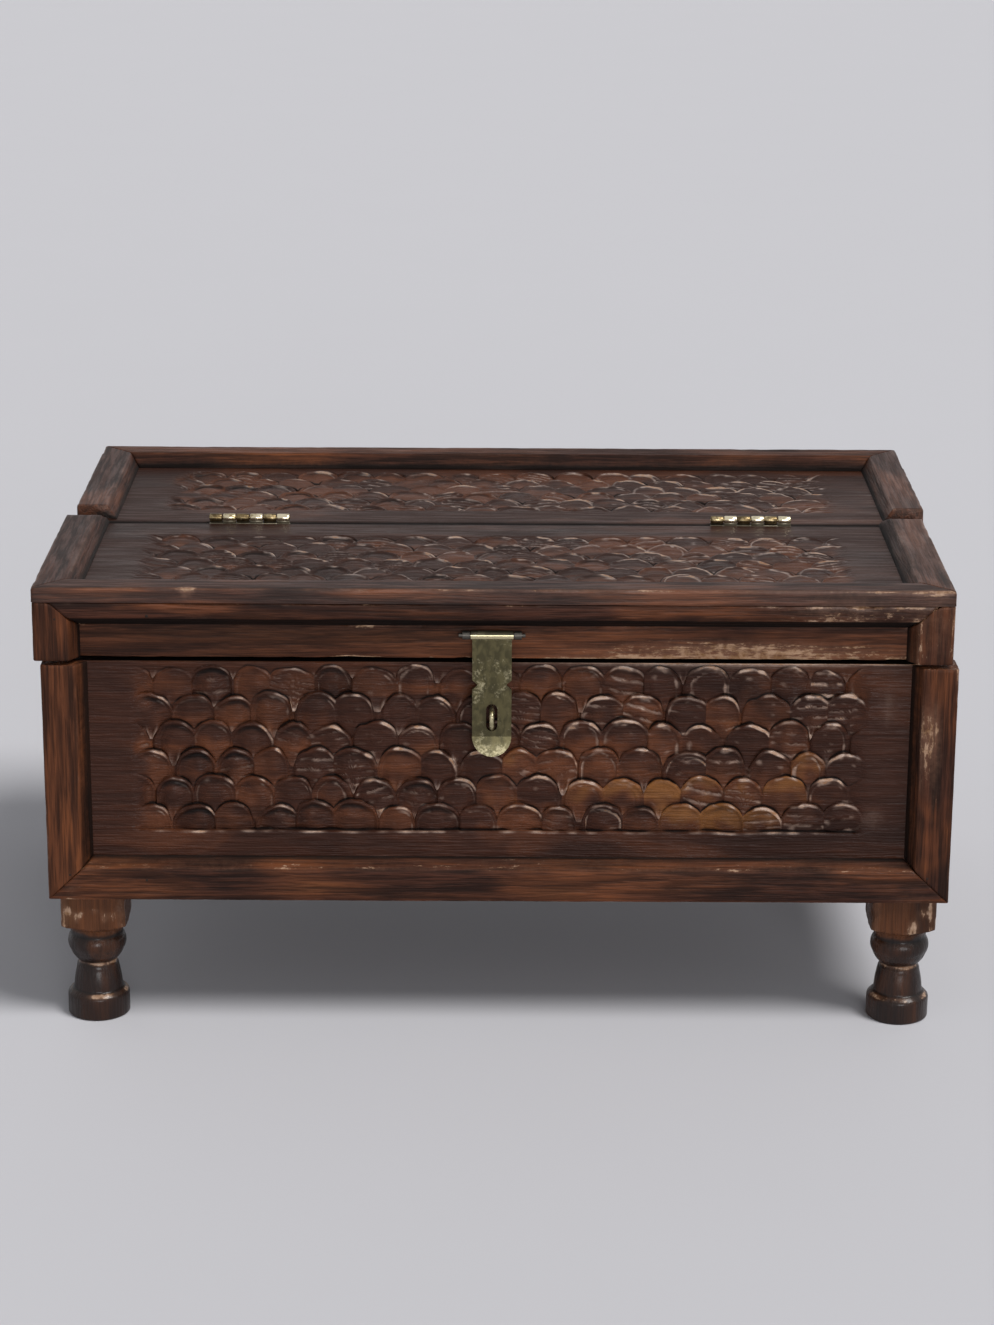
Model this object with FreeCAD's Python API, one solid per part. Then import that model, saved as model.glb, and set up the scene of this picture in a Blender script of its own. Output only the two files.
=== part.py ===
import FreeCAD, Part
import os

from FreeCAD import Placement, Rotation, Vector

# Main sizes of the box in millimetres: a low merchant's box with a half lid on turned feet.
box_width = 400.0
box_depth = 260.0
foot_height = 60.3
body_height = 109.3
lid_height = 33.6
lid_gap = 1.8
lid_shift = 2.8
lid_depth = 136.6

# Boards of the carcass, and the chamfered strips nailed round each panel.
board = 11.0
bottom_board = 10.0
strip = 7.0
chamfer = 4.5
stile_width = 20.0
rail_width = 18.6
base_strip_width = 19.2
top_strip_width = 19.0
nail = 1.5
nail_length = 13.0
nail_inset = 7.5
nail_inset_share = 0.11
nail_set = 0.5

# The joint between the lid and the rear half of the top.
joint_gap = 1.0
rear_strip_setback = 4.5
lid_strip_run_out = 14.0
lid_strip_end_rise = 2.2
lid_strip_bulge = 4.9

# Carved fish scales: each rises from the groove at its foot to its own rounded edge, and that edge
# stands above the row beyond it.
carved_width = 325.0
scales = 18
scale_rows = 6
row_pitch = 12.8
scallop_rise = 7.5
carve_depth = 1.8
front_field_top = 1.9
lid_field_back = 22.4
rear_field_front = 23.3
top_row_pitch = 12.7

# Turned feet, cut from a square billet.
foot_block = 29.0
foot_inset_side = 18.8
foot_inset_end = 18.3
tenon_radius = 7.0
tenon_height = 8.0

# Brass butt hinges, the standard 38 mm size.
hinge_length = 38.0
hinge_spacing = 118.0
barrel_radius = 2.1
barrel_lift = 0.2
pin_radius = 0.9
running_fit = 0.05
knuckles = 6
knuckle_gap = 0.15
leaf_thick = 1.2
leaf_height = 9.0
leaf_face = 0.15
leaf_under_barrel = 0.3
screw_spacing = 12.5
screw_radius = 1.2
screw_head_radius = 2.2
screw_length = 10.0

# Brass hasp on a wire pin, and the staple that passes through its slot.
hasp_offset = -0.6
hasp_width = 17.2
hasp_length = 54.8
hasp_thick = 1.2
hasp_knuckle_width = 18.6
hasp_knuckle_radius = 2.0
hasp_pin_radius = 0.9
hasp_pin_length = 29.0
hasp_pin_drop = 22.0
hasp_pin_standoff = 2.8
notch_drop = 22.5
notch_depth = 2.4
notch_half_height = 2.2
slot_drop = 37.5
slot_width = 5.0
slot_height = 12.4
tip_length = 8.6
tip_kick = 2.3
eye_length = 3.2
eye_radius = 1.9
eye_shank_radius = 1.0
eye_shank_length = 8.0
staple_wire = 1.1
staple_height = 8.8
staple_reach = 10.2
staple_depth = 8.0
staple_bend = 1.6

# Levels and faces that follow from the sizes above. The lid sits to the left of the body, and
# the staple stands out in front, so the middle of the whole is between them.
body_x = lid_shift / 2
lid_x = -lid_shift / 2
staple_overhang = staple_reach - strip
front_y = (staple_overhang - box_depth) / 2
back_y = front_y + box_depth
panel_y = front_y + strip
hinge_y = front_y + lid_depth
base_z = foot_height
floor_z = base_z + bottom_board
body_top_z = base_z + body_height
lid_base_z = body_top_z + lid_gap
top_z = lid_base_z + lid_height
panel_z = top_z - strip
under_z = panel_z - board
half_width = box_width / 2
half_carcass = half_width - strip
lid_rear_y = hinge_y - joint_gap / 2
rear_front_y = hinge_y + joint_gap / 2
hinge_z = panel_z + barrel_radius + barrel_lift
leaf_top_z = hinge_z - barrel_radius - leaf_under_barrel
hinge_places = {"left": body_x - hinge_spacing, "right": body_x + hinge_spacing}
hasp_x = lid_x + hasp_offset
hasp_y = panel_y - hasp_pin_standoff
hasp_z = top_z - hasp_pin_drop
staple_z = hasp_z - slot_drop

planes = {
    "xy": lambda a, b: Vector(a, b, 0),
    "xz": lambda a, b: Vector(a, 0, b),
    "yz": lambda a, b: Vector(0, a, b),
}


def block(x, y, z):
    """Return a box between pairs of limits."""
    size = [high - low for low, high in (x, y, z)]
    return Part.makeBox(*size, Vector(x[0], y[0], z[0]))


def outline(plane, start, *steps):
    """Return a face bounded by lines to points and by arcs through pairs of points."""
    place = planes[plane]
    at = place(*start)
    edges = []
    for step in steps + (start,):
        if isinstance(step[0], tuple):
            middle, end = place(*step[0]), place(*step[1])
            edges.append(Part.Arc(at, middle, end).toShape())
        else:
            end = place(*step)
            if end.isEqual(at, 1e-7):
                continue
            edges.append(Part.LineSegment(at, end).toShape())
        at = end
    return Part.Face(Part.Wire(edges))


def rod(start, end, radius):
    """Return a round bar between two points."""
    way = end - start
    return Part.makeCylinder(radius, way.Length, start, way)


def without(shape, cutters):
    """Return a shape with each cutter taken out of it."""
    for cutter in cutters:
        shape = shape.cut(cutter)
    return shape


def chamfered_strip(start, end, outward, width, mitres):
    """Return a strip whose outer edge runs from start to end, mitred back at each end.

    The panel lies to the left of the run when the face is seen from outside. A mitre is how far
    the inner edge stops short of the outer one, and is zero at a square end.
    """
    run = (end - start).normalize()
    inward = outward.cross(run)
    length = (end - start).Length
    section = outline("yz", (0, 0), (width, 0), (width - chamfer, strip), (0, strip))
    bar = section.extrude(Vector(length, 0, 0))
    for mitre, edge, sense in ((mitres[0], 0, 1), (mitres[1], length, -1)):
        if mitre:
            wedge = outline("xy", (edge, 0), (edge + sense * mitre, width), (edge, width))
            bar = bar.cut(wedge.extrude(Vector(0, 0, strip)))
    turn = Rotation(run, inward, outward, "XYZ")
    bar.Placement = Placement(start, turn)
    return bar


def strip_run(corners, outward, widths):
    """Return the strips between corners of a face, mitred where two of them meet."""
    strips = []
    last = len(widths) - 1
    for index, width in enumerate(widths):
        before = widths[index - 1] if index else 0
        after = widths[index + 1] if index < last else 0
        strips.append(
            chamfered_strip(corners[index], corners[index + 1], outward, width, (before, after))
        )
    return strips


def front_strips(centre, low, high, widths):
    """Return strips on the front face, from the lower right corner up, over and down."""
    x = (centre - half_width, centre + half_width)
    upward = [Vector(x[1], panel_y, low), Vector(x[1], panel_y, high)]
    downward = [Vector(x[0], panel_y, high), Vector(x[0], panel_y, low)]
    return strip_run(upward + downward, Vector(0, -1, 0), widths)


def side_point(centre, side, y, z):
    """Return a point on the face of a side board."""
    return Vector(centre + side * half_carcass, y, z)


def side_strips(centre, side, path, widths):
    """Return strips on a side face along a path of (y, z) corners, given as seen on the right."""
    corners = [side_point(centre, side, y, z) for y, z in path]
    if side < 0:
        corners.reverse()
        widths = widths[::-1]
    strips = strip_run(corners, Vector(side, 0, 0), widths)
    return strips if side > 0 else strips[::-1]


def fitted(shape, y=(None, None), z=(None, None)):
    """Return a strip trimmed where the strips of the neighbouring faces lap over it."""
    box = shape.BoundBox
    limits_y = (box.YMin if y[0] is None else y[0], box.YMax if y[1] is None else y[1])
    limits_z = (box.ZMin if z[0] is None else z[0], box.ZMax if z[1] is None else z[1])
    return shape.common(block((box.XMin, box.XMax), limits_y, limits_z))


def nails_in(shape, outward):
    """Return two square nails driven through a strip near its ends, set below its face."""
    box = shape.BoundBox
    lengths = (box.XLength, box.YLength, box.ZLength)
    length = max(lengths)
    along = Vector(*[float(each == length) for each in lengths])
    reach = length / 2 - max(nail_inset, length * nail_inset_share)
    nails = []
    for sense in (-1, 1):
        head = box.Center + along * sense * reach + outward * (strip / 2 - nail_set)
        square = Part.makeBox(nail, nail, nail_length, Vector(-nail / 2, -nail / 2, -nail_length))
        square.Placement = Placement(head, Rotation(Vector(0, 0, 1), outward))
        nails.append(square)
    return nails


def scale_edges(apex, halved):
    """Return the area below the rounded edges of a row, which may start with half a scale."""
    width = carved_width / scales
    count = scales + 1 if halved else scales
    left = -count * width / 2
    cusp = apex - scallop_rise
    arcs = []
    for scale in range(count):
        start = left + scale * width
        arcs.append(((start + width / 2, apex), (start + width, cusp)))
    return outline("xy", (left, 0), (left, cusp), *arcs, (-left, 0))


def carved(shape, place, rows, pitch):
    """Return a board with rows of scales cut into a face, the last row ending on a ledge."""
    half = carved_width / 2
    height = rows * pitch
    above = outline("xy", (-half, 0), (-half, height), (half, height), (half, 0))
    top = height
    for row in range(rows + 1):
        area = above
        low = top - scallop_rise - (pitch if row else 0)
        if row < rows:
            below = scale_edges(height - row * pitch, row % 2 == 0)
            area = above.cut(below)
        slope = outline("yz", (top, 0), (low, -carve_depth), (low, 1), (top, 1))
        slope.translate(Vector(-half, 0, 0))
        cutter = slope.extrude(Vector(carved_width, 0, 0)).common(
            area.extrude(Vector(0, 0, 1 + carve_depth)).translated(Vector(0, 0, -carve_depth))
        )
        cutter.Placement = place.multiply(cutter.Placement)
        shape = shape.cut(cutter)
        above = below
        top = height - row * pitch
    return shape


def foot(x, y):
    """Return a foot turned from a square billet, with the tenon that enters the bottom board."""
    corner = foot_block * 0.71
    turned = outline(
        "xz",
        (0, 0),
        (13.2, 0),
        ((13.8, 0.4), (14.0, 1.2)),
        (14.0, 10.3),
        (11.4, 12.5),
        ((10.6, 17.9), (9.6, 22.6)),
        ((9.2, 24.3), (8.5, 25.5)),
        ((10.9, 28.4), (12.2, 31.2)),
        ((13.2, 34.4), (12.5, 37.8)),
        (11.8, 38.6),
        (11.8, 39.8),
        ((12.5, 42.0), (14.2, 43.9)),
        (corner, 45.8),
        (corner, foot_height),
        (0, foot_height),
    ).revolve(Vector(0, 0, 0), Vector(0, 0, 1), 360)
    half = foot_block / 2
    billet = block((-half, half), (-half, half), (0, foot_height))
    tenon = Part.makeCylinder(tenon_radius, tenon_height, Vector(0, 0, foot_height))
    return turned.common(billet).fuse(tenon).removeSplitter().translated(Vector(x, y, 0))


def screw(x, z, sense):
    """Return a countersunk screw driven from a leaf into the edge of a board."""
    face = Vector(x, hinge_y + sense * leaf_face, z)
    way = Vector(0, sense, 0)
    head = Part.makeCone(screw_head_radius, screw_radius, leaf_thick, face, way)
    return head.fuse(Part.makeCylinder(screw_radius, screw_length, face, way)).removeSplitter()


def hinge_screws(x, sense):
    """Return the screws of one leaf."""
    z = leaf_top_z - leaf_height / 2
    return [screw(x + step * screw_spacing, z, sense) for step in (-1, 0, 1)]


def leaf_block(x, sense, top):
    """Return a block as long and thick as a leaf, from the foot of the leaf up to a level."""
    y = sorted((hinge_y + sense * leaf_face, hinge_y + sense * (leaf_face + leaf_thick)))
    return block((x - hinge_length / 2, x + hinge_length / 2), y, (leaf_top_z - leaf_height, top))


def hinge_leaf(x, sense, turns):
    """Return a leaf with its own knuckles; the leaf that turns has room round and beside the pin."""
    plate = leaf_block(x, sense, leaf_top_z)
    y = (plate.BoundBox.YMin, plate.BoundBox.YMax)
    pitch = hinge_length / knuckles
    bore = pin_radius + (running_fit if turns else 0)
    gap = knuckle_gap if turns else 0
    for index in range(1 if turns else 0, knuckles, 2):
        start = x - hinge_length / 2 + index * pitch + gap
        end = start + pitch - 2 * gap
        neck = block((start, end), y, (leaf_top_z, hinge_z))
        barrel = rod(Vector(start, hinge_y, hinge_z), Vector(end, hinge_y, hinge_z), barrel_radius)
        plate = plate.fuse([neck, barrel])
    reach = Vector(hinge_length, 0, 0)
    middle = Vector(x, hinge_y, hinge_z)
    plate = plate.cut(rod(middle - reach, middle + reach, bore))
    return without(plate, hinge_screws(x, sense)).removeSplitter()


def hinge_pin(x):
    """Return the pin of one hinge."""
    reach = Vector(hinge_length / 2, 0, 0)
    middle = Vector(x, hinge_y, hinge_z)
    return rod(middle - reach, middle + reach, pin_radius)


def hasp_strap():
    """Return the strap: a bent blank cut to its outline, with a rolled knuckle and a slot."""
    half = hasp_width / 2
    waist = half - notch_depth
    bend = -(hasp_length - tip_length)
    back = hasp_thick / 2
    blank = outline(
        "yz",
        (-back, 0),
        (-back, bend),
        (-back - tip_kick, -hasp_length),
        (back - tip_kick, -hasp_length),
        (back, bend),
        (back, 0),
    ).extrude(Vector(hasp_width, 0, 0)).translated(Vector(-half, 0, 0))
    shape = outline(
        "xz",
        (-half, 0),
        (-half, notch_half_height - notch_drop),
        (-waist, -notch_drop),
        (-half, -notch_half_height - notch_drop),
        (-half, bend),
        ((0, -hasp_length), (half, bend)),
        (half, -notch_half_height - notch_drop),
        (waist, -notch_drop),
        (half, notch_half_height - notch_drop),
        (half, 0),
    ).extrude(Vector(0, 2 * tip_length, 0)).translated(Vector(0, -tip_length, 0))
    round_half = slot_width / 2
    straight = slot_height / 2 - round_half
    slot = outline(
        "xz",
        (-round_half, -slot_drop - straight),
        ((0, -slot_drop - slot_height / 2), (round_half, -slot_drop - straight)),
        (round_half, -slot_drop + straight),
        ((0, -slot_drop + slot_height / 2), (-round_half, -slot_drop + straight)),
    ).extrude(Vector(0, 2 * tip_length, 0)).translated(Vector(0, -tip_length, 0))
    reach = Vector(hasp_knuckle_width / 2, 0, 0)
    knuckle = rod(-reach, reach, hasp_knuckle_radius)
    bore = rod(-reach, reach, hasp_pin_radius + running_fit)
    strap = blank.common(shape).cut(slot).fuse(knuckle).cut(bore).removeSplitter()
    return strap.translated(Vector(hasp_x, hasp_y, hasp_z))


def hasp_pin():
    """Return the wire pin that the strap swings on."""
    middle = Vector(hasp_x, hasp_y, hasp_z)
    reach = Vector(hasp_pin_length / 2, 0, 0)
    return rod(middle - reach, middle + reach, hasp_pin_radius)


def eye_shanks():
    """Return the shanks of the two eyes, which are also their holes in the board."""
    place = (hasp_knuckle_width + eye_length) / 2 + 0.4
    ends = []
    for side in (-1, 1):
        start = Vector(hasp_x + side * place, hasp_y + hasp_pin_radius, hasp_z)
        end = Vector(start.x, panel_y + eye_shank_length, hasp_z)
        ends.append(rod(start, end, eye_shank_radius))
    return ends


def hasp_eyes():
    """Return the two eyes that hold the pin, each a ring on a shank driven into the board."""
    eyes = []
    for shank in eye_shanks():
        middle = Vector(shank.BoundBox.Center.x, hasp_y, hasp_z)
        reach = Vector(eye_length / 2, 0, 0)
        ring = rod(middle - reach, middle + reach, eye_radius)
        eyes.append(ring.fuse(shank).cut(hasp_pin()).removeSplitter())
    return eyes


def lock_staple():
    """Return the wire staple, a squared loop with rounded shoulders driven into the board."""
    half = staple_height / 2 - staple_wire
    tail = panel_y + staple_depth
    nose = panel_y - staple_reach + staple_wire
    shoulder = nose + staple_bend
    knee = staple_bend * (1 - 0.5 ** 0.5)
    at = planes["yz"]
    high, low = staple_z + half, staple_z - half
    path = Part.Wire([
        Part.LineSegment(at(tail, high), at(shoulder, high)).toShape(),
        Part.Arc(at(shoulder, high), at(nose + knee, high - knee), at(nose, high - staple_bend)).toShape(),
        Part.LineSegment(at(nose, high - staple_bend), at(nose, low + staple_bend)).toShape(),
        Part.Arc(at(nose, low + staple_bend), at(nose + knee, low + knee), at(shoulder, low)).toShape(),
        Part.LineSegment(at(shoulder, low), at(tail, low)).toShape(),
    ])
    ring = Part.Wire(Part.makeCircle(staple_wire, at(tail, high), Vector(0, -1, 0)))
    return path.makePipeShell([ring], True, False).translated(Vector(hasp_x, 0, 0))


def foot_places():
    """Return the middle of each foot by name."""
    places = {}
    for end, y in (("front", front_y + foot_inset_end), ("rear", back_y - foot_inset_end)):
        for name, side in (("left", -1), ("right", 1)):
            places[f"{end}_{name}_foot"] = (body_x + side * (half_width - foot_inset_side), y)
    return places


def body_boards():
    """Return the boards of the body."""
    x = (body_x - half_carcass, body_x + half_carcass)
    inner_back = back_y - board
    boards = {
        "bottom_board": block(x, (panel_y, back_y), (base_z, floor_z)),
        "front_board": block(x, (panel_y, panel_y + board), (floor_z, body_top_z)),
        "back_board": block(x, (inner_back, back_y), (floor_z, under_z)),
        "rear_top_board": block(x, (rear_front_y, back_y), (under_z, panel_z)),
    }
    for name, side in (("left", -1), ("right", 1)):
        step = outline(
            "yz",
            (panel_y + board, floor_z),
            (inner_back, floor_z),
            (inner_back, under_z),
            (rear_front_y, under_z),
            (rear_front_y, body_top_z),
            (panel_y + board, body_top_z),
        )
        start = body_x + side * half_carcass
        step.translate(Vector(start, 0, 0))
        boards[f"{name}_side_board"] = step.extrude(Vector(-side * board, 0, 0))
    for x_foot, y_foot in foot_places().values():
        hole = Part.makeCylinder(tenon_radius, tenon_height, Vector(x_foot, y_foot, base_z))
        boards["bottom_board"] = boards["bottom_board"].cut(hole)
    field_top = body_top_z - front_field_top - scale_rows * row_pitch
    upright = Placement(Vector(body_x, panel_y, field_top), Rotation(Vector(1, 0, 0), 90))
    boards["front_board"] = carved(boards["front_board"], upright, scale_rows, row_pitch)
    flat = Placement(Vector(body_x, hinge_y + rear_field_front, panel_z), Rotation())
    boards["rear_top_board"] = carved(boards["rear_top_board"], flat, scale_rows, top_row_pitch)
    return boards


def lid_boards():
    """Return the boards of the lid."""
    x = (lid_x - half_carcass, lid_x + half_carcass)
    behind = (panel_y + board, lid_rear_y)
    boards = {
        "lid_top_board": block(x, (panel_y, lid_rear_y), (under_z, panel_z)),
        "lid_front_board": block(x, (panel_y, panel_y + board), (lid_base_z, under_z)),
        "lid_left_board": block((x[0], x[0] + board), behind, (lid_base_z, under_z)),
        "lid_right_board": block((x[1] - board, x[1]), behind, (lid_base_z, under_z)),
    }
    field_front = hinge_y - lid_field_back - scale_rows * top_row_pitch
    flat = Placement(Vector(lid_x, field_front, panel_z), Rotation())
    boards["lid_top_board"] = carved(boards["lid_top_board"], flat, scale_rows, top_row_pitch)
    return boards


def body_strips():
    """Return the strips of the body, each with the direction that it faces."""
    forward, up = Vector(0, -1, 0), Vector(0, 0, 1)
    x = (body_x - half_width, body_x + half_width)
    corners = [
        Vector(x[0], panel_y, body_top_z),
        Vector(x[0], panel_y, base_z),
        Vector(x[1], panel_y, base_z),
        Vector(x[1], panel_y, body_top_z),
    ]
    widths = [stile_width, base_strip_width, stile_width]
    names = ["front_left_strip", "front_bottom_strip", "front_right_strip"]
    strips = {n: (s, forward) for n, s in zip(names, strip_run(corners, forward, widths))}
    for name, side in (("left", -1), ("right", 1)):
        path = [(front_y, body_top_z), (front_y, base_z), (back_y, base_z), (back_y, top_z),
                (rear_front_y, top_z)]
        widths = [stile_width, base_strip_width, stile_width, rail_width]
        made = side_strips(body_x, side, path, widths)
        for place, shape in zip(("front", "bottom", "rear", "upper"), made):
            trimmed = fitted(shape, y=(panel_y, None) if place in ("front", "bottom") else (None, None),
                             z=(None, panel_z) if place in ("rear", "upper") else (None, None))
            strips[f"{name}_side_{place}_strip"] = (trimmed, Vector(side, 0, 0))
    start = hinge_y + rear_strip_setback
    corners = [
        Vector(x[1], start, panel_z),
        Vector(x[1], back_y, panel_z),
        Vector(x[0], back_y, panel_z),
        Vector(x[0], start, panel_z),
    ]
    names = ["rear_top_right_strip", "rear_top_back_strip", "rear_top_left_strip"]
    for name, shape in zip(names, strip_run(corners, up, [top_strip_width] * 3)):
        strips[name] = (shape, up)
    return strips


def lid_strips():
    """Return the strips of the lid, each with the direction that it faces."""
    forward, up = Vector(0, -1, 0), Vector(0, 0, 1)
    strips = {}
    names = ["lid_front_right_strip", "lid_front_upper_strip", "lid_front_left_strip"]
    made = front_strips(lid_x, lid_base_z, top_z, [stile_width, rail_width, stile_width])
    for name, shape in zip(names, made):
        strips[name] = (fitted(shape, z=(None, panel_z)), forward)
    for name, side in (("left", -1), ("right", 1)):
        path = [(lid_rear_y, top_z), (front_y, top_z), (front_y, lid_base_z)]
        made = side_strips(lid_x, side, path, [rail_width, stile_width])
        for place, shape in zip(("upper", "front"), made):
            trimmed = fitted(shape, y=(panel_y, None), z=(None, panel_z))
            strips[f"lid_{name}_{place}_strip"] = (trimmed, Vector(side, 0, 0))
    x = (lid_x - half_width, lid_x + half_width)
    corners = [
        Vector(x[0], lid_rear_y, panel_z),
        Vector(x[0], front_y, panel_z),
        Vector(x[1], front_y, panel_z),
        Vector(x[1], lid_rear_y, panel_z),
    ]
    names = ["lid_top_left_strip", "lid_top_front_strip", "lid_top_right_strip"]
    run_out = outline(
        "yz",
        (lid_rear_y, panel_z + lid_strip_end_rise),
        ((lid_rear_y - lid_strip_run_out * 0.46, panel_z + lid_strip_bulge),
         (lid_rear_y - lid_strip_run_out, top_z)),
        (lid_rear_y + 1, top_z),
        (lid_rear_y + 1, panel_z + lid_strip_end_rise),
    ).translated(Vector(-box_width, 0, 0)).extrude(Vector(2 * box_width, 0, 0))
    for name, shape in zip(names, strip_run(corners, up, [top_strip_width] * 3)):
        strips[name] = (shape.cut(run_out), up)
    return strips


def nailed(boards, strips):
    """Return boards and strips with their nail holes, and the nails as one group."""
    shapes = dict(boards)
    nails = []
    for name, (shape, outward) in strips.items():
        driven = nails_in(shape, outward)
        shapes[name] = without(shape, driven)
        nails += driven
    for name, shape in boards.items():
        near = [n for n in nails if n.BoundBox.intersect(shape.BoundBox)]
        shapes[name] = without(shape, near)
    return shapes, Part.Compound(nails)


def recessed(shape, sense):
    """Return a board whose joint edge is cut for the hinge leaves and their screws."""
    cutters = []
    for x in hinge_places.values():
        cutters += [leaf_block(x, sense, hinge_z)] + hinge_screws(x, sense)
    return without(shape, cutters)


def all_pieces():
    """Return every piece of the box by name."""
    body, body_nails = nailed(body_boards(), body_strips())
    lid, lid_nails = nailed(lid_boards(), lid_strips())
    pieces = {**body, **lid, "body_strip_nails": body_nails, "lid_strip_nails": lid_nails}
    pieces["rear_top_board"] = recessed(pieces["rear_top_board"], 1)
    pieces["lid_top_board"] = recessed(pieces["lid_top_board"], -1)
    body_screws, lid_screws = [], []
    for name, x in hinge_places.items():
        pieces[f"{name}_hinge_body_leaf"] = hinge_leaf(x, 1, False)
        pieces[f"{name}_hinge_lid_leaf"] = hinge_leaf(x, -1, True)
        pieces[f"{name}_hinge_pin"] = hinge_pin(x)
        body_screws += hinge_screws(x, 1)
        lid_screws += hinge_screws(x, -1)
    pieces["body_hinge_screws"] = Part.Compound(body_screws)
    pieces["lid_hinge_screws"] = Part.Compound(lid_screws)
    for name, (x, y) in foot_places().items():
        pieces[name] = foot(x, y)
    pieces["hasp_strap"] = hasp_strap()
    pieces["hasp_pin"] = hasp_pin()
    pieces["hasp_eyes"] = Part.Compound(hasp_eyes())
    pieces["lid_front_board"] = without(pieces["lid_front_board"], eye_shanks())
    pieces["lock_staple"] = lock_staple()
    pieces["front_board"] = pieces["front_board"].cut(pieces["lock_staple"])
    return pieces


os.makedirs("parts", exist_ok=True)
for piece_name, piece in all_pieces().items():
    piece.exportStep(f"parts/{piece_name}.step")
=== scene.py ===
import logging
import math
import random
from dataclasses import dataclass, field, replace
from enum import Enum
from typing import Iterable, Optional, Sequence, Union

import bmesh
import bpy
from mathutils import Matrix, Vector, noise


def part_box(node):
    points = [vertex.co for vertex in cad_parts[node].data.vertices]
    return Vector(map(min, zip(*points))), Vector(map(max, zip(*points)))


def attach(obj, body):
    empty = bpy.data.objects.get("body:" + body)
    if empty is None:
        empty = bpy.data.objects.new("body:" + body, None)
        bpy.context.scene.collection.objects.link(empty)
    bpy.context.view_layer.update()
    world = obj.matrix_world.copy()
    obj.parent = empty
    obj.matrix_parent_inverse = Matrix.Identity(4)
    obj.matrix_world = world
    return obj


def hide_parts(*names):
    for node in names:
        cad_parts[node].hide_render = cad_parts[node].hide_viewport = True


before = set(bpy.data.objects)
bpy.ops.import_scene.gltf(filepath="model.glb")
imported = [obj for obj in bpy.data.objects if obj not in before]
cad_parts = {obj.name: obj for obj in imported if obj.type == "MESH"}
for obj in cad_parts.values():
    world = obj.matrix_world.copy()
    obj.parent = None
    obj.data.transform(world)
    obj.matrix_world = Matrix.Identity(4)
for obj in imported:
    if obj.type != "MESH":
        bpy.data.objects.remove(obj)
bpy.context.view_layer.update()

MM = 0.001
log = logging.getLogger("carved_box")

Number = Union[int, float]
Colour = tuple[float, float, float]
Point = tuple[float, float, float]
Flat = tuple[float, float]


class Side(Enum):
    """A direction of the box, named as seen by someone who stands in front of it."""

    LEFT = (-1, 0, 0)
    RIGHT = (1, 0, 0)
    FRONT = (0, -1, 0)
    BACK = (0, 1, 0)
    DOWN = (0, 0, -1)
    UP = (0, 0, 1)

    @property
    def axis(self) -> int:
        """Index of the axis that the direction lies along."""
        return next(i for i, part in enumerate(self.value) if part)

    @property
    def sign(self) -> int:
        """Sense of the direction along its axis."""
        return self.value[self.axis]

    @property
    def opposite(self) -> "Side":
        """The direction that faces the other way."""
        return Side(tuple(-part for part in self.value))


class Grain(Enum):
    """The axis that the grain of a piece runs along."""

    X = 0
    Y = 1
    Z = 2


class Body(Enum):
    """A part of the box that moves as one."""

    BOX = "body"
    LID = "lid"


def ripple(point: Sequence[float], size: float, seed: float) -> float:
    """Return smooth noise between about -1 and 1.

    Args:
        point: Place in millimetres.
        size: Length of one wave in millimetres.
        seed: Offset that gives each piece its own pattern.

    Returns:
        The noise at that place.
    """
    return noise.noise(Vector(point) / size + Vector((seed * 7.31, seed * 3.17, seed * 5.03)))


def bump_at(value: float, width: float) -> float:
    """Return a bell curve of height one and the given width."""
    return math.exp(-((value / width) ** 2))


def step(value: float, low: float, high: float) -> float:
    """Return a smooth step from zero at low to one at high."""
    t = min(max((value - low) / (high - low), 0.0), 1.0)
    return t * t * (3 - 2 * t)


@dataclass(frozen=True)
class Patch:
    """A place where the wood is more scuffed, warmer or more golden than round it, or less if negative."""

    centre: Point
    reach: Point
    strength: float

    def at(self, point: Sequence[float]) -> float:
        """Return the strength of the patch at a place."""
        away = sum(((p - c) / r) ** 2 for p, c, r in zip(point, self.centre, self.reach))
        return self.strength * math.exp(-away)


WEAR_PATCHES = (
    Patch((150, -128, 196), (38, 10, 8), 0.56),
    Patch((105, -121, 174.5), (80, 6, 6.5), 1.05),
    Patch((20, -129, 205), (90, 4, 3), 0.2),
    Patch((160, -129, 205), (45, 4, 3), 0.15),
    Patch((-134, -129, 204), (3, 4, 4), 0.9),
    Patch((190, -129, 141), (5.5, 6, 18), 0.9),
    Patch((192, -129, 112), (5, 5, 26), 0.45),
    Patch((-188, -128, 66), (5, 6, 5), 0.6),
    Patch((-176, -125, 70), (7, 5, 5), 0.3),
    Patch((186, -128, 64), (14, 8, 5), 0.45),
    Patch((172, -121.4, 150), (6, 4, 14), 0.35),
    Patch((167, -121.4, 98), (7, 4, 7), 0.4),
    Patch((-190.5, -124.6, 53.4), (2.4, 3, 2.4), 0.6),
    Patch((-187, -124.6, 50.2), (2.2, 3, 3.4), 0.8),
    Patch((-184.6, -124.6, 52.4), (2.0, 3, 1.8), 0.6),
    Patch((-178.6, -124.6, 53.6), (2.4, 3, 1.8), 0.65),
    Patch((-174.8, -124.6, 50.5), (1.9, 3, 3.4), 0.85),
    Patch((-171.2, -124.6, 51.7), (1.8, 3, 2.6), 0.6),
    Patch((192, -129, 186), (12, 6, 18), 0.5),
    Patch((192, -60, 205), (10, 70, 4), 0.42),
    Patch((-192, -60, 205), (10, 70, 4), 0.2),
    Patch((186.6, -124.6, 48), (3.4, 3, 4.4), 0.9),
    Patch((191, -124.6, 54.6), (3.0, 3, 2.6), 0.75),
)
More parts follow.
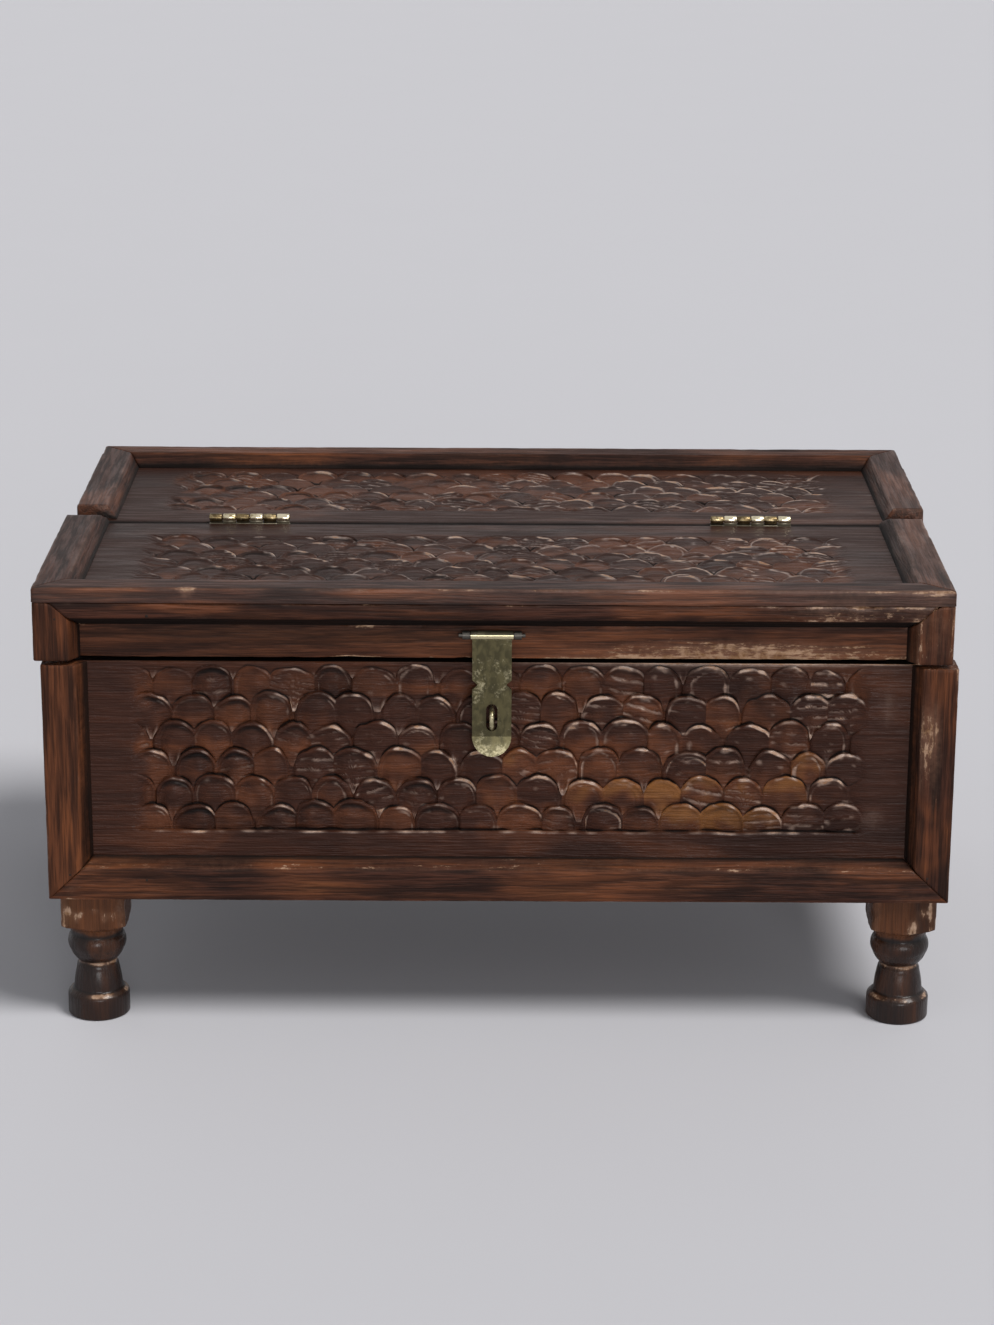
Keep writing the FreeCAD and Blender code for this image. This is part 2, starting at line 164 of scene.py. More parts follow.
WARM_PATCHES = (
    Patch((-78, -128.4, 67), (22, 4, 4), 0.8),
    Patch((28, -128.4, 65), (24, 4, 4), 0.8),
    Patch((-165, -125, 77), (14, 5, 4), 0.6),
    Patch((-192, -124.6, 52), (4, 5, 9), 0.7),
    Patch((-120, -121.4, 183), (70, 4, 7), 0.5),
    Patch((-30, -121.4, 181), (50, 4, 6), 0.35),
    # These two are a painted cool reflection on the right stile and the right of the bottom rail.
    Patch((190, -128.4, 110), (12, 6, 40), -0.22),
    Patch((130, -128.4, 66), (60, 6, 6), -0.2),
)

SCALE_REACH = (7, 1, 6)
GOLDEN_SCALES = tuple(Patch((x, 0, level), SCALE_REACH, strength) for x, level, strength in (
    (5, 129, 0.8),
    (132, 129, 0.9),
    (36, 116, 0.9),
    (54, 116, 0.9),
    (72, 116, 1.7),
    (90, 116, 1.2),
    (108, 116, 0.9),
    (126, 116, 1.6),
    (83, 104, 1.0),
    (101, 104, 1.7),
    (118, 104, 1.5),
))


def wear_at(point: Sequence[float]) -> float:
    """Return the sum of the wear patches at a place in millimetres."""
    return sum(patch.at(point) for patch in WEAR_PATCHES)


def warm_at(point: Sequence[float]) -> float:
    """Return how much warmer than its piece the wood is at a place in millimetres; the negative patches are
    a painted cool reflection.
    """
    return sum(patch.at(point) for patch in WARM_PATCHES)


class Signal:
    """A shader socket that takes part in arithmetic, where each sum adds its Math node."""

    def __init__(self, graph: "Graph", socket: bpy.types.NodeSocket) -> None:
        """Keep the socket and the graph that it belongs to."""
        self.graph = graph
        self.socket = socket

    def _math(self, operation: str, first: "Operand", second: "Operand") -> "Signal":
        """Return the result of a Math node on two operands."""
        return self.graph.node("ShaderNodeMath", {"operation": operation}, {0: first, 1: second})

    def __add__(self, other: "Operand") -> "Signal":
        """Return the sum."""
        return self._math("ADD", self, other)

    def __radd__(self, other: Number) -> "Signal":
        """Return the sum with a number first."""
        return self._math("ADD", other, self)

    def __sub__(self, other: "Operand") -> "Signal":
        """Return the difference."""
        return self._math("SUBTRACT", self, other)

    def __rsub__(self, other: Number) -> "Signal":
        """Return a number less this signal."""
        return self._math("SUBTRACT", other, self)

    def __mul__(self, other: "Operand") -> "Signal":
        """Return the product."""
        return self._math("MULTIPLY", self, other)

    def __rmul__(self, other: Number) -> "Signal":
        """Return the product with a number first."""
        return self._math("MULTIPLY", other, self)

    def ramp(self, low: float, high: float) -> "Signal":
        """Return a smooth step from zero at low to one at high."""
        settings = {"interpolation_type": "SMOOTHSTEP"}
        return self.graph.node("ShaderNodeMapRange", settings, {0: self, 1: low, 2: high})

    def most(self, other: "Operand") -> "Signal":
        """Return the larger of two signals."""
        return self._math("MAXIMUM", self, other)


Operand = Union[Signal, Number]
Input = Union[Signal, Number, Sequence[float]]


class Graph:
    """A node tree that is being put together."""

    def __init__(self, tree: bpy.types.NodeTree, shader: str) -> None:
        """Keep the tree and the shader node that its signals end in."""
        self.tree = tree
        self.shader = tree.nodes[shader]

    def node(self, kind: str, settings: dict, inputs: dict, output: Union[int, str] = 0) -> Signal:
        """Add a node.

        Args:
            kind: Type of the node.
            settings: Properties of the node, set first.
            inputs: Values or links by socket name or index.
            output: Socket to return.

        Returns:
            The node's output as a signal.
        """
        node = self.tree.nodes.new(kind)
        for key, value in settings.items():
            setattr(node, key, value)
        for key, value in inputs.items():
            self.feed(node.inputs[key], value)
        return Signal(self, node.outputs[output])

    def feed(self, socket: bpy.types.NodeSocket, value: Input) -> None:
        """Link a signal to a socket, or set the socket to a constant.

        Args:
            socket: Input of a node.
            value: Signal or constant for it.
        """
        if isinstance(value, Signal):
            self.tree.links.new(value.socket, socket)
        else:
            socket.default_value = value

    def surface(self, **inputs: Input) -> None:
        """Feed the shader, with underscores for the spaces in its sockets' names."""
        for key, value in inputs.items():
            self.feed(self.shader.inputs[key.replace("_", " ")], value)

    def mix(self, factor: Operand, first: Input, second: Input) -> Signal:
        """Return a blend of two colours.

        Args:
            factor: Share of the second colour.
            first: Colour or signal.
            second: Colour or signal.

        Returns:
            The blended colour.
        """
        settings = {"data_type": "RGBA", "clamp_factor": True}
        colours = [c if isinstance(c, Signal) else (*c, 1.0) for c in (first, second)]
        return self.node("ShaderNodeMix", settings, {0: factor, 6: colours[0], 7: colours[1]}, 2)

    def attribute(self, name: str) -> Signal:
        """Return a value stored on the mesh's points."""
        return self.node("ShaderNodeAttribute", {"attribute_name": name}, {}, "Fac")

    def place(self) -> Signal:
        """Return the place on the piece, in metres."""
        return self.node("ShaderNodeTexCoord", {}, {}, "Object")

    def part(self, vector: Signal, axis: int) -> Signal:
        """Return one coordinate of a vector."""
        return self.node("ShaderNodeSeparateXYZ", {}, {0: vector}, axis)

    def shifted(self, vector: Signal, amount: Operand) -> Signal:
        """Return a vector moved by the same amount along each axis."""
        shift = amount if isinstance(amount, Signal) else (amount, amount, amount)
        return self.node("ShaderNodeVectorMath", {"operation": "ADD"}, {0: vector, 1: shift})

    def scaled(self, vector: Signal, factors: Sequence[float]) -> Signal:
        """Return a vector scaled along each axis."""
        settings = {"operation": "MULTIPLY"}
        return self.node("ShaderNodeVectorMath", settings, {0: vector, 1: tuple(factors)})

    def cloud(self, vector: Signal, scale: float, detail: float = 2.0, **more: float) -> Signal:
        """Return noise of a given scale, in waves per unit of the vector."""
        inputs = {"Vector": vector, "Scale": scale, "Detail": detail, **more}
        return self.node("ShaderNodeTexNoise", {}, inputs)

    def bump(self, height: Signal, strength: float, distance: float) -> Signal:
        """Return a normal that follows a height."""
        inputs = {"Strength": strength, "Distance": distance, "Height": height}
        return self.node("ShaderNodeBump", {}, inputs)


class Coating(Graph):
    """The node tree of one material."""

    def __init__(self, name: str) -> None:
        """Start a material with a Principled shader.

        Args:
            name: Name of the material.
        """
        self.material = bpy.data.materials.new(name)
        self.material.use_nodes = True
        super().__init__(self.material.node_tree, "Principled BSDF")


@dataclass(frozen=True)
class RawFace:
    """The face of a board that was left without stain, inside the box."""

    side: Side
    level: float


@dataclass(frozen=True)
class WoodFinish:
    """Old oiled wood: its stain, the bare wood under it, its soiling with painted shade, and its sheen."""

    name: str
    shade: Colour
    stain: Colour
    russet: Colour
    golden: Colour
    rubbed_and_highlight: Colour
    bare: Colour
    grime_and_shade: Colour
    roughness: float = 0.46
    gloss: float = 0.2
    sheen: float = 0.02
    polish: float = 0.3
    gloom: float = 0.55
    figure: float = 0.9
    flaking: float = 0.78
    coat_roughness: float = 0.28
    rubbing: tuple[float, float] = (0.12, 0.95)

    def material(self, grain: Grain, raw: Optional[RawFace] = None) -> bpy.types.Material:
        """Return the material for pieces whose grain runs one way.

        Args:
            grain: Axis of the grain.
            raw: Face that was left without stain, if any.

        Returns:
            The finished material.
        """
        suffix = f"_{raw.side.name.lower()}" if raw else ""
        graph = Coating(f"{self.name}_{grain.name.lower()}{suffix}")
        place = graph.place()
        own = graph.shifted(place, graph.attribute("seed") * 3.7)
        run, fine, broad = (graph.scaled(own, self.stretch(grain, share)) for share in (0.075, 0.03, 0.3))
        streak = graph.cloud(run, 400, 4, Roughness=0.62).ramp(0.41, 0.62)
        figure = graph.cloud(run, 85, 3, Distortion=1.4).ramp(0.40, 0.60)
        fibre = graph.cloud(fine, 1250, 2).ramp(0.44, 0.66)
        patch = graph.cloud(broad, 34, 3, Distortion=0.8).ramp(0.38, 0.62)
        gloom = graph.cloud(graph.shifted(broad, 5.0), 22, 4, Distortion=0.5).ramp(0.50, 0.68)
        speckle = graph.cloud(own, 310, 3, Roughness=0.7)
        chipped = graph.cloud(graph.scaled(own, self.stretch(grain, 0.36)), 560, 5, Roughness=0.74)
        depth = 0.5 + (figure * 0.4 + streak * 0.6 - 0.5) * self.figure
        colour = graph.mix(depth, self.shade, self.stain)
        tone = graph.attribute("tone")
        taken = 0.2 + depth * 0.8
        warm = (tone + (patch - 0.5) * 0.8).ramp(0.0, 1.0)
        colour = graph.mix(warm * taken, colour, self.russet)
        colour = graph.mix(tone.ramp(0.8, 2.3) * taken, colour, self.golden)
        colour = graph.mix(gloom * self.gloom, colour, self.shade)
        colour = graph.mix(fibre * self.figure * 0.5, colour, self.grime_and_shade)
        # The worn value lightens towards the rubbed_and_highlight colour: real wear on arrises and chips,
        # and a painted highlight on the carved rims, arrises and ledge.
        worn = graph.attribute("worn")
        rubbed_and_highlight = (worn * 0.85 + (speckle - 0.5) * worn).ramp(*self.rubbing)
        colour = graph.mix(rubbed_and_highlight * 0.65, colour, self.rubbed_and_highlight)
        flakes = worn + (chipped - 0.5) * 1.8 + (streak - 0.5) * 0.3
        flakes = flakes.ramp(self.flaking, self.flaking + 0.24)
        bare = graph.mix(streak * 0.35 + speckle.ramp(0.3, 0.65) * 0.7, self.golden, self.bare)
        colour = graph.mix(flakes * 0.82, colour, bare)
        # The dirt value darkens towards the grime_and_shade colour: soiling at the joints and board edges,
        # darker rings on the feet, and painted shade in the carved grooves, under the rims, on the chamfers
        # and on the front board's top under the lid.
        dirt = graph.attribute("dirt")
        colour = graph.mix((dirt + (speckle - 0.5) * 0.5).ramp(0.08, 0.85) * 0.92, colour, self.grime_and_shade)
        rough = self.roughness + (0.5 - streak) * 0.16 + (0.5 - patch) * 0.12
        rough = rough + flakes * 0.15 - rubbed_and_highlight * 0.12 + dirt * 0.25
        if raw:
            level = graph.part(place, raw.side.axis) * raw.side.sign
            inside = level.ramp(raw.level * MM, raw.level * MM + RAW_FADE)
            pale = graph.mix(depth, RAW_WOOD[0], RAW_WOOD[1])
            pale = graph.mix(gloom * 0.6, pale, self.stain)
            colour = graph.mix(inside, colour, pale)
            rough = rough + inside * 0.25
        height = streak * 0.5 + speckle * 0.6 - fibre * 0.5 - flakes * 0.5
        graph.surface(
            Base_Color=colour,
            Roughness=rough,
            Normal=graph.bump(height, 0.5, 0.0005),
            Specular_IOR_Level=self.gloss,
            Coat_Weight=self.sheen * (1 - warm) + rubbed_and_highlight * self.polish,
            Coat_Roughness=self.coat_roughness,
        )
        return graph.material

    @staticmethod
    def stretch(grain: Grain, share: float) -> Point:
        """Return the factors that draw a pattern out along the grain."""
        return tuple(share if axis == grain.value else 1.0 for axis in range(3))


@dataclass(frozen=True)
class BrassFinish:
    """Brass gone dull and polished where it is handled, darkened by soiling and by painted shade, with a
    painted highlight band where one is given.
    """

    name: str
    tarnish: Colour
    dull: Colour
    bright: Colour
    grime_and_shade: Colour
    roughness: float
    polish: float
    highlight_bar: Optional[tuple[float, float]] = None
    polished_below: Optional[float] = None

    def material(self) -> bpy.types.Material:
        """Make the material, with the painted highlight band on the knuckle and the polished tip given by
        their levels in millimetres.

        Returns:
            The finished material.
        """
        graph = Coating(self.name)
        place = graph.place()
        blotch = graph.cloud(place, 190, 4, Roughness=0.65)
        fleck = graph.cloud(place, 900, 3, Roughness=0.7)
        smear = graph.cloud(graph.scaled(place, (1.0, 1.0, 0.6)), 330, 4, Distortion=0.6).ramp(0.36, 0.66)
        shine = (blotch + (fleck - 0.5) * 0.5).ramp(0.62 - self.polish * 0.45, 0.95 - self.polish * 0.45)
        level = graph.part(place, 2)
        dirt = graph.attribute("dirt")
        # The highlight bar is a painted highlight along the knuckle, with a painted dark reflection on the
        # brass above it.
        if self.highlight_bar is not None:
            foot, head = (edge * MM for edge in self.highlight_bar)
            bar = level.ramp(foot - 0.0003, foot) * (1 - level.ramp(head, head + 0.0004))
            shine = shine.most(bar)
            dirt = dirt.most(level.ramp(head, head + 0.0006) * 0.75)
        if self.polished_below is not None:
            height = level + (blotch - 0.5) * 0.012
            low = 1 - height.ramp(self.polished_below * MM, (self.polished_below + 2.2) * MM)
            shine = shine.most(low * (0.05 + (blotch + (fleck - 0.5) * 0.8).ramp(0.4, 0.72) * 0.45))
        colour = graph.mix(smear, self.tarnish, self.dull)
        colour = graph.mix(shine, colour, self.bright)
        spots = (fleck * 0.6 + blotch * 0.4).ramp(0.55, 0.70) * (1 - shine * 0.7)
        colour = graph.mix(spots * 0.65, colour, self.grime_and_shade)
        # On brass the dirt value is painted shade: the shadow in the gap on the hinge plates and tongues,
        # and the dark reflection above the highlight bar.
        colour = graph.mix(dirt, colour, self.grime_and_shade)
        graph.surface(
            Base_Color=colour,
            Metallic=0.95 - spots * 0.35 - dirt * 0.5,
            Roughness=self.roughness - shine * 0.16 + spots * 0.25 + (fleck - 0.5) * 0.12 + dirt * 0.2,
            Normal=graph.bump(blotch * 0.6 + fleck * 0.4, 0.25, 0.0003),
        )
        return graph.material


@dataclass(frozen=True)
class IronFinish:
    """Blackened iron or dull wire with a little rust."""

    name: str
    metal: Colour
    rust: Colour
    roughness: float

    def material(self) -> bpy.types.Material:
        """Make the material.

        Returns:
            The finished material.
        """
        graph = Coating(self.name)
        place = graph.place()
        blotch = graph.cloud(place, 420, 4, Roughness=0.65)
        fine = graph.cloud(place, 1900, 2)
        rust = (blotch + (fine - 0.5) * 0.4).ramp(0.5, 0.72)
        graph.surface(
            Base_Color=graph.mix(rust * 0.8, self.metal, self.rust),
            Metallic=0.9 - rust * 0.6,
            Roughness=self.roughness + rust * 0.3,
            Normal=graph.bump(blotch, 0.3, 0.0002),
        )
        return graph.material


RAW_WOOD = ((0.075, 0.040, 0.024), (0.20, 0.12, 0.07))
RAW_FADE = 0.0006
CARVED_WOOD = WoodFinish(
    "carved_wood",
    shade=(0.0120, 0.0045, 0.0030),
    stain=(0.068, 0.0225, 0.0118),
    russet=(0.140, 0.0455, 0.0185),
    golden=(0.270, 0.112, 0.030),
    # rubbed_and_highlight: the pale rim colour, partly wear through the stain and partly a painted
    # highlight.
    rubbed_and_highlight=(0.340, 0.225, 0.170),
    bare=(0.44, 0.315, 0.245),
    grime_and_shade=(0.0028, 0.0014, 0.0011),
    roughness=0.36,
    gloss=0.13,
    sheen=0.0,
    polish=0.7,
    gloom=0.6,
    figure=0.34,
    flaking=0.80,
)
CARVED_TOP = replace(
    CARVED_WOOD,
    name="carved_top",
    stain=(0.052, 0.0175, 0.0095),
    # rubbed_and_highlight: the pale grey rim colour of the top boards, partly wear and partly a painted
    # highlight.
    rubbed_and_highlight=(0.440, 0.345, 0.305),
    gloss=0.21,
    roughness=0.42,
    polish=0.35,
)
STRIP_WOOD = WoodFinish(
    "strip_wood",
    shade=(0.0130, 0.0050, 0.0033),
    stain=(0.072, 0.0240, 0.0130),
    russet=(0.175, 0.056, 0.0200),
    golden=(0.190, 0.090, 0.034),
    rubbed_and_highlight=(0.190, 0.085, 0.046),
    bare=(0.44, 0.285, 0.190),
    grime_and_shade=(0.0038, 0.0020, 0.0015),
    gloss=0.12,
    sheen=0.0,
    polish=0.4,
    flaking=0.70,
    rubbing=(0.22, 1.1),
)
STRIP_TOP = replace(
    STRIP_WOOD,
    name="strip_top",
    gloss=0.32,
    sheen=0.02,
    polish=0.2,
    roughness=0.5,
    flaking=0.74,
    rubbing=(0.12, 0.95),
)
BOARD_WOOD = replace(
    STRIP_WOOD,
    name="board_wood",
    shade=(0.0130, 0.0050, 0.0034),
    stain=(0.068, 0.0230, 0.0130),
    russet=(0.165, 0.054, 0.0205),
    rubbed_and_highlight=(0.175, 0.078, 0.042),
    bare=(0.46, 0.290, 0.180),
    polish=0.3,
    flaking=0.68,
    rubbing=(0.2, 1.05),
)
FOOT_WOOD = WoodFinish(
    "foot_wood",
    shade=(0.0060, 0.0030, 0.0023),
    stain=(0.024, 0.0096, 0.0058),
    russet=(0.150, 0.055, 0.0230),
    golden=(0.190, 0.090, 0.034),
    rubbed_and_highlight=(0.200, 0.100, 0.056),
    bare=(0.46, 0.31, 0.215),
    grime_and_shade=(0.0025, 0.0015, 0.0012),
    roughness=0.34,
    gloss=0.14,
    sheen=0.36,
    flaking=0.66,
    figure=0.4,
    coat_roughness=0.19,
    rubbing=(0.2, 1.05),
)
HINGE_BRASS = BrassFinish(
    "hinge_brass",
    tarnish=(0.22, 0.16, 0.07),
    dull=(0.40, 0.30, 0.14),
    bright=(0.95, 0.84, 0.60),
    grime_and_shade=(0.03, 0.022, 0.012),
    roughness=0.28,
    polish=0.9,
)
DULL_HINGE_BRASS = BrassFinish(
    "dull_hinge_brass",
    tarnish=(0.10, 0.07, 0.035),
    dull=(0.24, 0.17, 0.08),
    bright=(0.75, 0.60, 0.34),
    grime_and_shade=(0.022, 0.016, 0.009),
    roughness=0.36,
    polish=0.4,
)
HASP_BRASS = BrassFinish(
    "hasp_brass",
    tarnish=(0.062, 0.054, 0.029),
    dull=(0.106, 0.091, 0.046),
    bright=(0.60, 0.53, 0.33),
    grime_and_shade=(0.026, 0.022, 0.013),
    roughness=0.42,
    polish=0.2,
    highlight_bar=(181.3, 183.4),
    polished_below=132.2,
)
STAPLE_BRASS = replace(HASP_BRASS, name="staple_brass", polish=0.8, highlight_bar=None, polished_below=None)
WIRE_STEEL = IronFinish("wire_steel", (0.085, 0.077, 0.067), (0.035, 0.024, 0.018), 0.4)
NAIL_IRON = IronFinish("nail_iron", (0.030, 0.022, 0.018), (0.030, 0.013, 0.008), 0.6)


class Draft:
    """Points, faces and values of a mesh that is being made, in millimetres."""

    VALUES = ("worn", "dirt", "tone")
    KNUCKLE_SIDES = 28
    # Painted shadow on the hinge plates and tongues, which lie in the gap under the knuckles.
    SLAB_SHADE = 0.85

    def __init__(self, seed: float = 0.0) -> None:
        """Start an empty draft.

        Args:
            seed: Offset that gives the piece its own grain.
        """
        self.seed = seed
        self.points: list[Point] = []
        self.faces: list[Sequence[int]] = []
        self.values: dict[str, list[float]] = {name: [] for name in self.VALUES}

    def add(self, point: Point, worn: float = 0.0, dirt: float = 0.0, tone: float = 0.0) -> int:
        """Add a point with its values.

        Args:
            point: Place in millimetres.
            worn: How much of the finish has come off, and how light a painted highlight is.
            dirt: How much soiling and painted shade lies there.
            tone: How warm the wood is.

        Returns:
            Index of the point.
        """
        self.points.append(point)
        for name, value in zip(self.VALUES, (worn, dirt, tone)):
            self.values[name].append(value)
        return len(self.points) - 1

    def bands(self, rings: Sequence[Sequence[int]], closed: bool) -> None:
        """Join rows of points by faces.

        Args:
            rings: Rows of points, each as long as the next.
            closed: Whether each row closes on itself.
        """
        for low, high in zip(rings, rings[1:]):
            count = len(low)
            for i in range(count if closed else count - 1):
                j = (i + 1) % count
                self.faces.append((low[i], low[j], high[j], high[i]))

    def tube(self, rings: Sequence[Sequence[int]]) -> None:
        """Join closed rings of points by faces and close both ends."""
        self.bands(rings, closed=True)
        self.faces += [rings[0][::-1], rings[-1]]

    def slab(self, low: Sequence[float], high: Sequence[float], arris: float) -> None:
        """Add a block with softened arrises.

        Args:
            low: Lowest corner.
            high: Highest corner.
            arris: Width of the softened edge.
        """
        middle = [(a + b) / 2 for a, b in zip(low, high)]
        half = [(b - a) / 2 for a, b in zip(low, high)]
        octants = [(x, y, z) for x in (-1, 1) for y in (-1, 1) for z in (-1, 1)]
        corners = {}
        for signs in octants:
            for axis in range(3):
                reach = [h if i == axis else h - arris for i, h in enumerate(half)]
                point = tuple(m + s * r for m, s, r in zip(middle, signs, reach))
                corners[signs, axis] = self.add(point, dirt=self.SLAB_SHADE)
        for axis in range(3):
            a, b = (axis + 1) % 3, (axis + 2) % 3
            for sign in (-1, 1):
                turn = []
                for sa, sb in ((-1, -1), (1, -1), (1, 1), (-1, 1)):
                    signs = [0, 0, 0]
                    signs[axis], signs[a], signs[b] = sign, sa, sb
                    turn.append(tuple(signs))
                self.faces.append([corners[signs, axis] for signs in turn])
                for other in (-1, 1):
                    ends = []
                    for along in (-1, 1):
                        signs = [0, 0, 0]
                        signs[axis], signs[a], signs[b] = along, sign, other
                        ends.append(tuple(signs))
                    self.faces.append([corners[ends[0], a], corners[ends[1], a],
                                       corners[ends[1], b], corners[ends[0], b]])
        for signs in octants:
            self.faces.append([corners[signs, axis] for axis in range(3)])

    def barrel(self, start: Sequence[float], length: float, radius: float, arris: float) -> None:
        """Add a round knuckle that runs along X, with softened rims.

        Args:
            start: Middle of its first end.
            length: Length along X.
            radius: Radius of the round.
            arris: Width of the softened rim.
        """
        stops = [(0.0, radius * 0.45), (0.0, radius - arris)]
        stops += [(arris * 0.3, radius - arris * 0.3), (arris, radius)]
        stops += [(length - x, r) for x, r in reversed(stops)]
        rings = []
        for x, r in stops:
            ring = []
            for k in range(self.KNUCKLE_SIDES):
                angle = 2 * math.pi * k / self.KNUCKLE_SIDES
                y, z = start[1] + r * math.cos(angle), start[2] + r * math.sin(angle)
                ring.append(self.add((start[0] + x, y, z)))
            rings.append(ring)
        self.bands(rings + rings[:1], closed=True)

    def piece(self, name: str, body: Body, slot: str, nodes: Iterable[str],
              material: bpy.types.Material, sharp: float = 50.0) -> bpy.types.Object:
        """Make the object, put it on its body and let it stand for its solids.

        Args:
            name: Name of the piece.
            body: Body that it rides on.
            slot: Material slot of the record; not used.
            nodes: Solids that it replaces.
            material: Finish of the piece.
            sharp: Angle in degrees above which an edge stays crisp.

        Returns:
            The new object.
        """
        mesh = bpy.data.meshes.new(name)
        mesh.from_pydata([Vector(p) * MM for p in self.points], [], self.faces)
        for value, numbers in {**self.values, "seed": [self.seed] * len(self.points)}.items():
            mesh.attributes.new(value, "FLOAT", "POINT").data.foreach_set("value", numbers)
        shape = bmesh.new()
        shape.from_mesh(mesh)
        bmesh.ops.recalc_face_normals(shape, faces=shape.faces)
        shape.to_mesh(mesh)
        shape.free()
        mesh.shade_smooth()
        mesh.set_sharp_from_angle(angle=math.radians(sharp))
        mesh.materials.append(material)
        made = bpy.data.objects.new(name, mesh)
        bpy.context.scene.collection.objects.link(made)
        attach(made, body.value)
        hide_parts(*nodes)
        log.info("%s: %d points on %s", name, len(self.points), body.value)
        return made


def box_mm(node: str) -> tuple[Vector, Vector]:
    """Return the lowest and highest corner of a solid in millimetres."""
    low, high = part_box(node)
    return low / MM, high / MM


@dataclass
class EndCut:
    """How the end of a strip is cut: square, or mitred from some way in from its outer edge."""

    slope: float = 0.0
    start: float = 0.0

    def inset(self, across: float) -> float:
        """Return how far the end stops short at a distance from the outer edge."""
        return max(0.0, (across - self.start) * self.slope)


SQUARE = EndCut()
STILE_MITRE = EndCut(0.96)
BASE_MITRE = EndCut(1.0417)
RAIL_MITRE = EndCut(1.0753)
LAPPED_STILE = EndCut(0.93, 7.53)
LAPPED_BASE = EndCut(1.0417, 6.72)
SHORT_STILE = EndCut(0.93, 0.527)
TOP_MITRE = EndCut(1.0)


@dataclass
class WornStrip:
    """A chamfered strip, or a plain board where the chamfer is zero, with softened arrises."""

    node: str
    body: Body
    faces: Side
    outer: Side
    low_end: EndCut = field(default_factory=EndCut)
    high_end: EndCut = field(default_factory=EndCut)
    chamfer: float = 4.5
    arris: float = 1.3
    tone: float = 0.1
    edge_tone: float = 0.0
    # gloom: painted shade on the chamfer face, with some soiling; rub: a lighter chamfer, partly wear and
    # partly painted sheen.
    gloom: float = 0.15
    rub: float = 0.0
    chips: float = 0.5
    seed: float = 0.0
    runs_out: bool = False
    station: float = 2.6

    RUN_OUT_LENGTH = 14.0
    RUN_OUT_CURVE = (2.2, 0.4843, -0.0101)
    JOINT_GAP = 0.1
    END_ARRIS = 0.45
    BACK_LEVEL = 0.4

    def __post_init__(self) -> None:
        """Take the strip's length, width and thickness from its solid."""
        self.low, self.high = box_mm(self.node)
        self.run = 3 - self.faces.axis - self.outer.axis
        size = self.high - self.low
        self.length = size[self.run]
        self.width = size[self.outer.axis]
        self.thick = size[self.faces.axis]

    def section(self) -> list[tuple[float, float, float]]:
        """Work out the points round the section.

        Returns:
            Each point's place across, its place outward and how exposed it is.
        """
        corners = [
            (0.0, 0.0, 0.3, 0.0),
            (0.0, self.thick, self.arris, 1.0),
            (self.width - self.chamfer, self.thick, self.arris * 0.8, 0.8 if self.chamfer else 1.0),
            (self.width, 0.0, 0.3, 0.0),
        ]
        points: list[tuple[float, float, float]] = []
        for i, (a, w, radius, bare) in enumerate(corners):
            here = Vector((a, w))
            before = Vector(corners[i - 1][:2])
            after = Vector(corners[(i + 1) % 4][:2])
            start = here + (before - here).normalized() * radius
            end = here + (after - here).normalized() * radius
            middle = here * 0.5 + (start + end) * 0.25
            points += [(*start, bare * 0.5), (*middle, bare), (*end, bare * 0.5)]
            span = (after - end).length
            count = max(int(span / 3.2), 1)
            points += [(*end.lerp(after, (k + 0.5) / (count + 0.5)), 0.0) for k in range(count)]
        return points

    def place(self, along: float, across: float, outward: float) -> Point:
        """Find a place on the strip in the box's own frame.

        Args:
            along: Distance from the low end.
            across: Distance from the outer edge.
            outward: Distance from the back.

        Returns:
            The place in millimetres.
        """
        point = [0.0, 0.0, 0.0]
        point[self.run] = self.low[self.run] + along
        edge = self.high if self.outer.sign > 0 else self.low
        point[self.outer.axis] = edge[self.outer.axis] - self.outer.sign * across
        back = self.low if self.faces.sign > 0 else self.high
        point[self.faces.axis] = back[self.faces.axis] + self.faces.sign * outward
        return tuple(point)

    def run_out(self, along: float) -> float:
        """Find the height left where the strip is rounded down at its rear end.

        Args:
            along: Distance from the low end.

        Returns:
            The most that the strip stands out there.
        """
        if not self.runs_out:
            return self.thick
        rest = min(self.length - along, self.RUN_OUT_LENGTH)
        lip, slope, bend = self.RUN_OUT_CURVE
        return min(self.thick, lip + slope * rest + bend * rest * rest)

    def build(self) -> Draft:
        """Make the strip.

        Returns:
            Its mesh.
        """
        draft = Draft(self.seed)
        section = self.section()
        count = len(section)
        normals = []
        for i in range(count):
            before, after = Vector(section[i - 1][:2]), Vector(section[(i + 1) % count][:2])
            way = (after - before).normalized()
            normals.append((-way.y, way.x))
        stations = max(int(self.length / self.station), 6)
        shares = [0.0, self.END_ARRIS / self.length]
        shares += [(k + 0.6) / (stations + 0.2) for k in range(stations)]
        shares += [1 - self.END_ARRIS / self.length, 1.0]
        rings = []
        for order, share in enumerate(shares):
            at_end = order in (0, len(shares) - 1)
            ring = []
            for (a, w, bare), (na, nw) in zip(section, normals):
                start = self.low_end.inset(a) + self.JOINT_GAP
                end = self.length - self.high_end.inset(a) - self.JOINT_GAP
                along = start + share * (end - start)
                limit = self.run_out(along)
                outward = min(w, limit) if w > self.BACK_LEVEL else w
                here = self.place(along, a, outward)
                inward = 0.10 + 0.11 * ripple(here, 31, self.seed) + 0.05 * ripple(here, 5.5, self.seed)
                inward = max(inward, 0.02)
                knock = 0.0
                if bare:
                    knock = max(0.0, ripple(here, 8.5, self.seed + 2) - 0.12)
                    knock += max(0.0, ripple(here, 26, self.seed + 5) - 0.25)
                    knock *= self.chips * bare
                inward += knock * 1.5 + (0.35 if at_end else 0.0)
                if w <= self.BACK_LEVEL:
                    inward = 0.0 if not at_end else 0.2
                point = self.place(along, a - na * inward, outward - nw * inward)
                worn = bare * (0.34 + 0.35 * ripple(here, 17, self.seed + 9)) + knock * 1.4
                worn += wear_at(here) + (0.2 if at_end and w > 1 else 0.0)
                dirt = 0.0
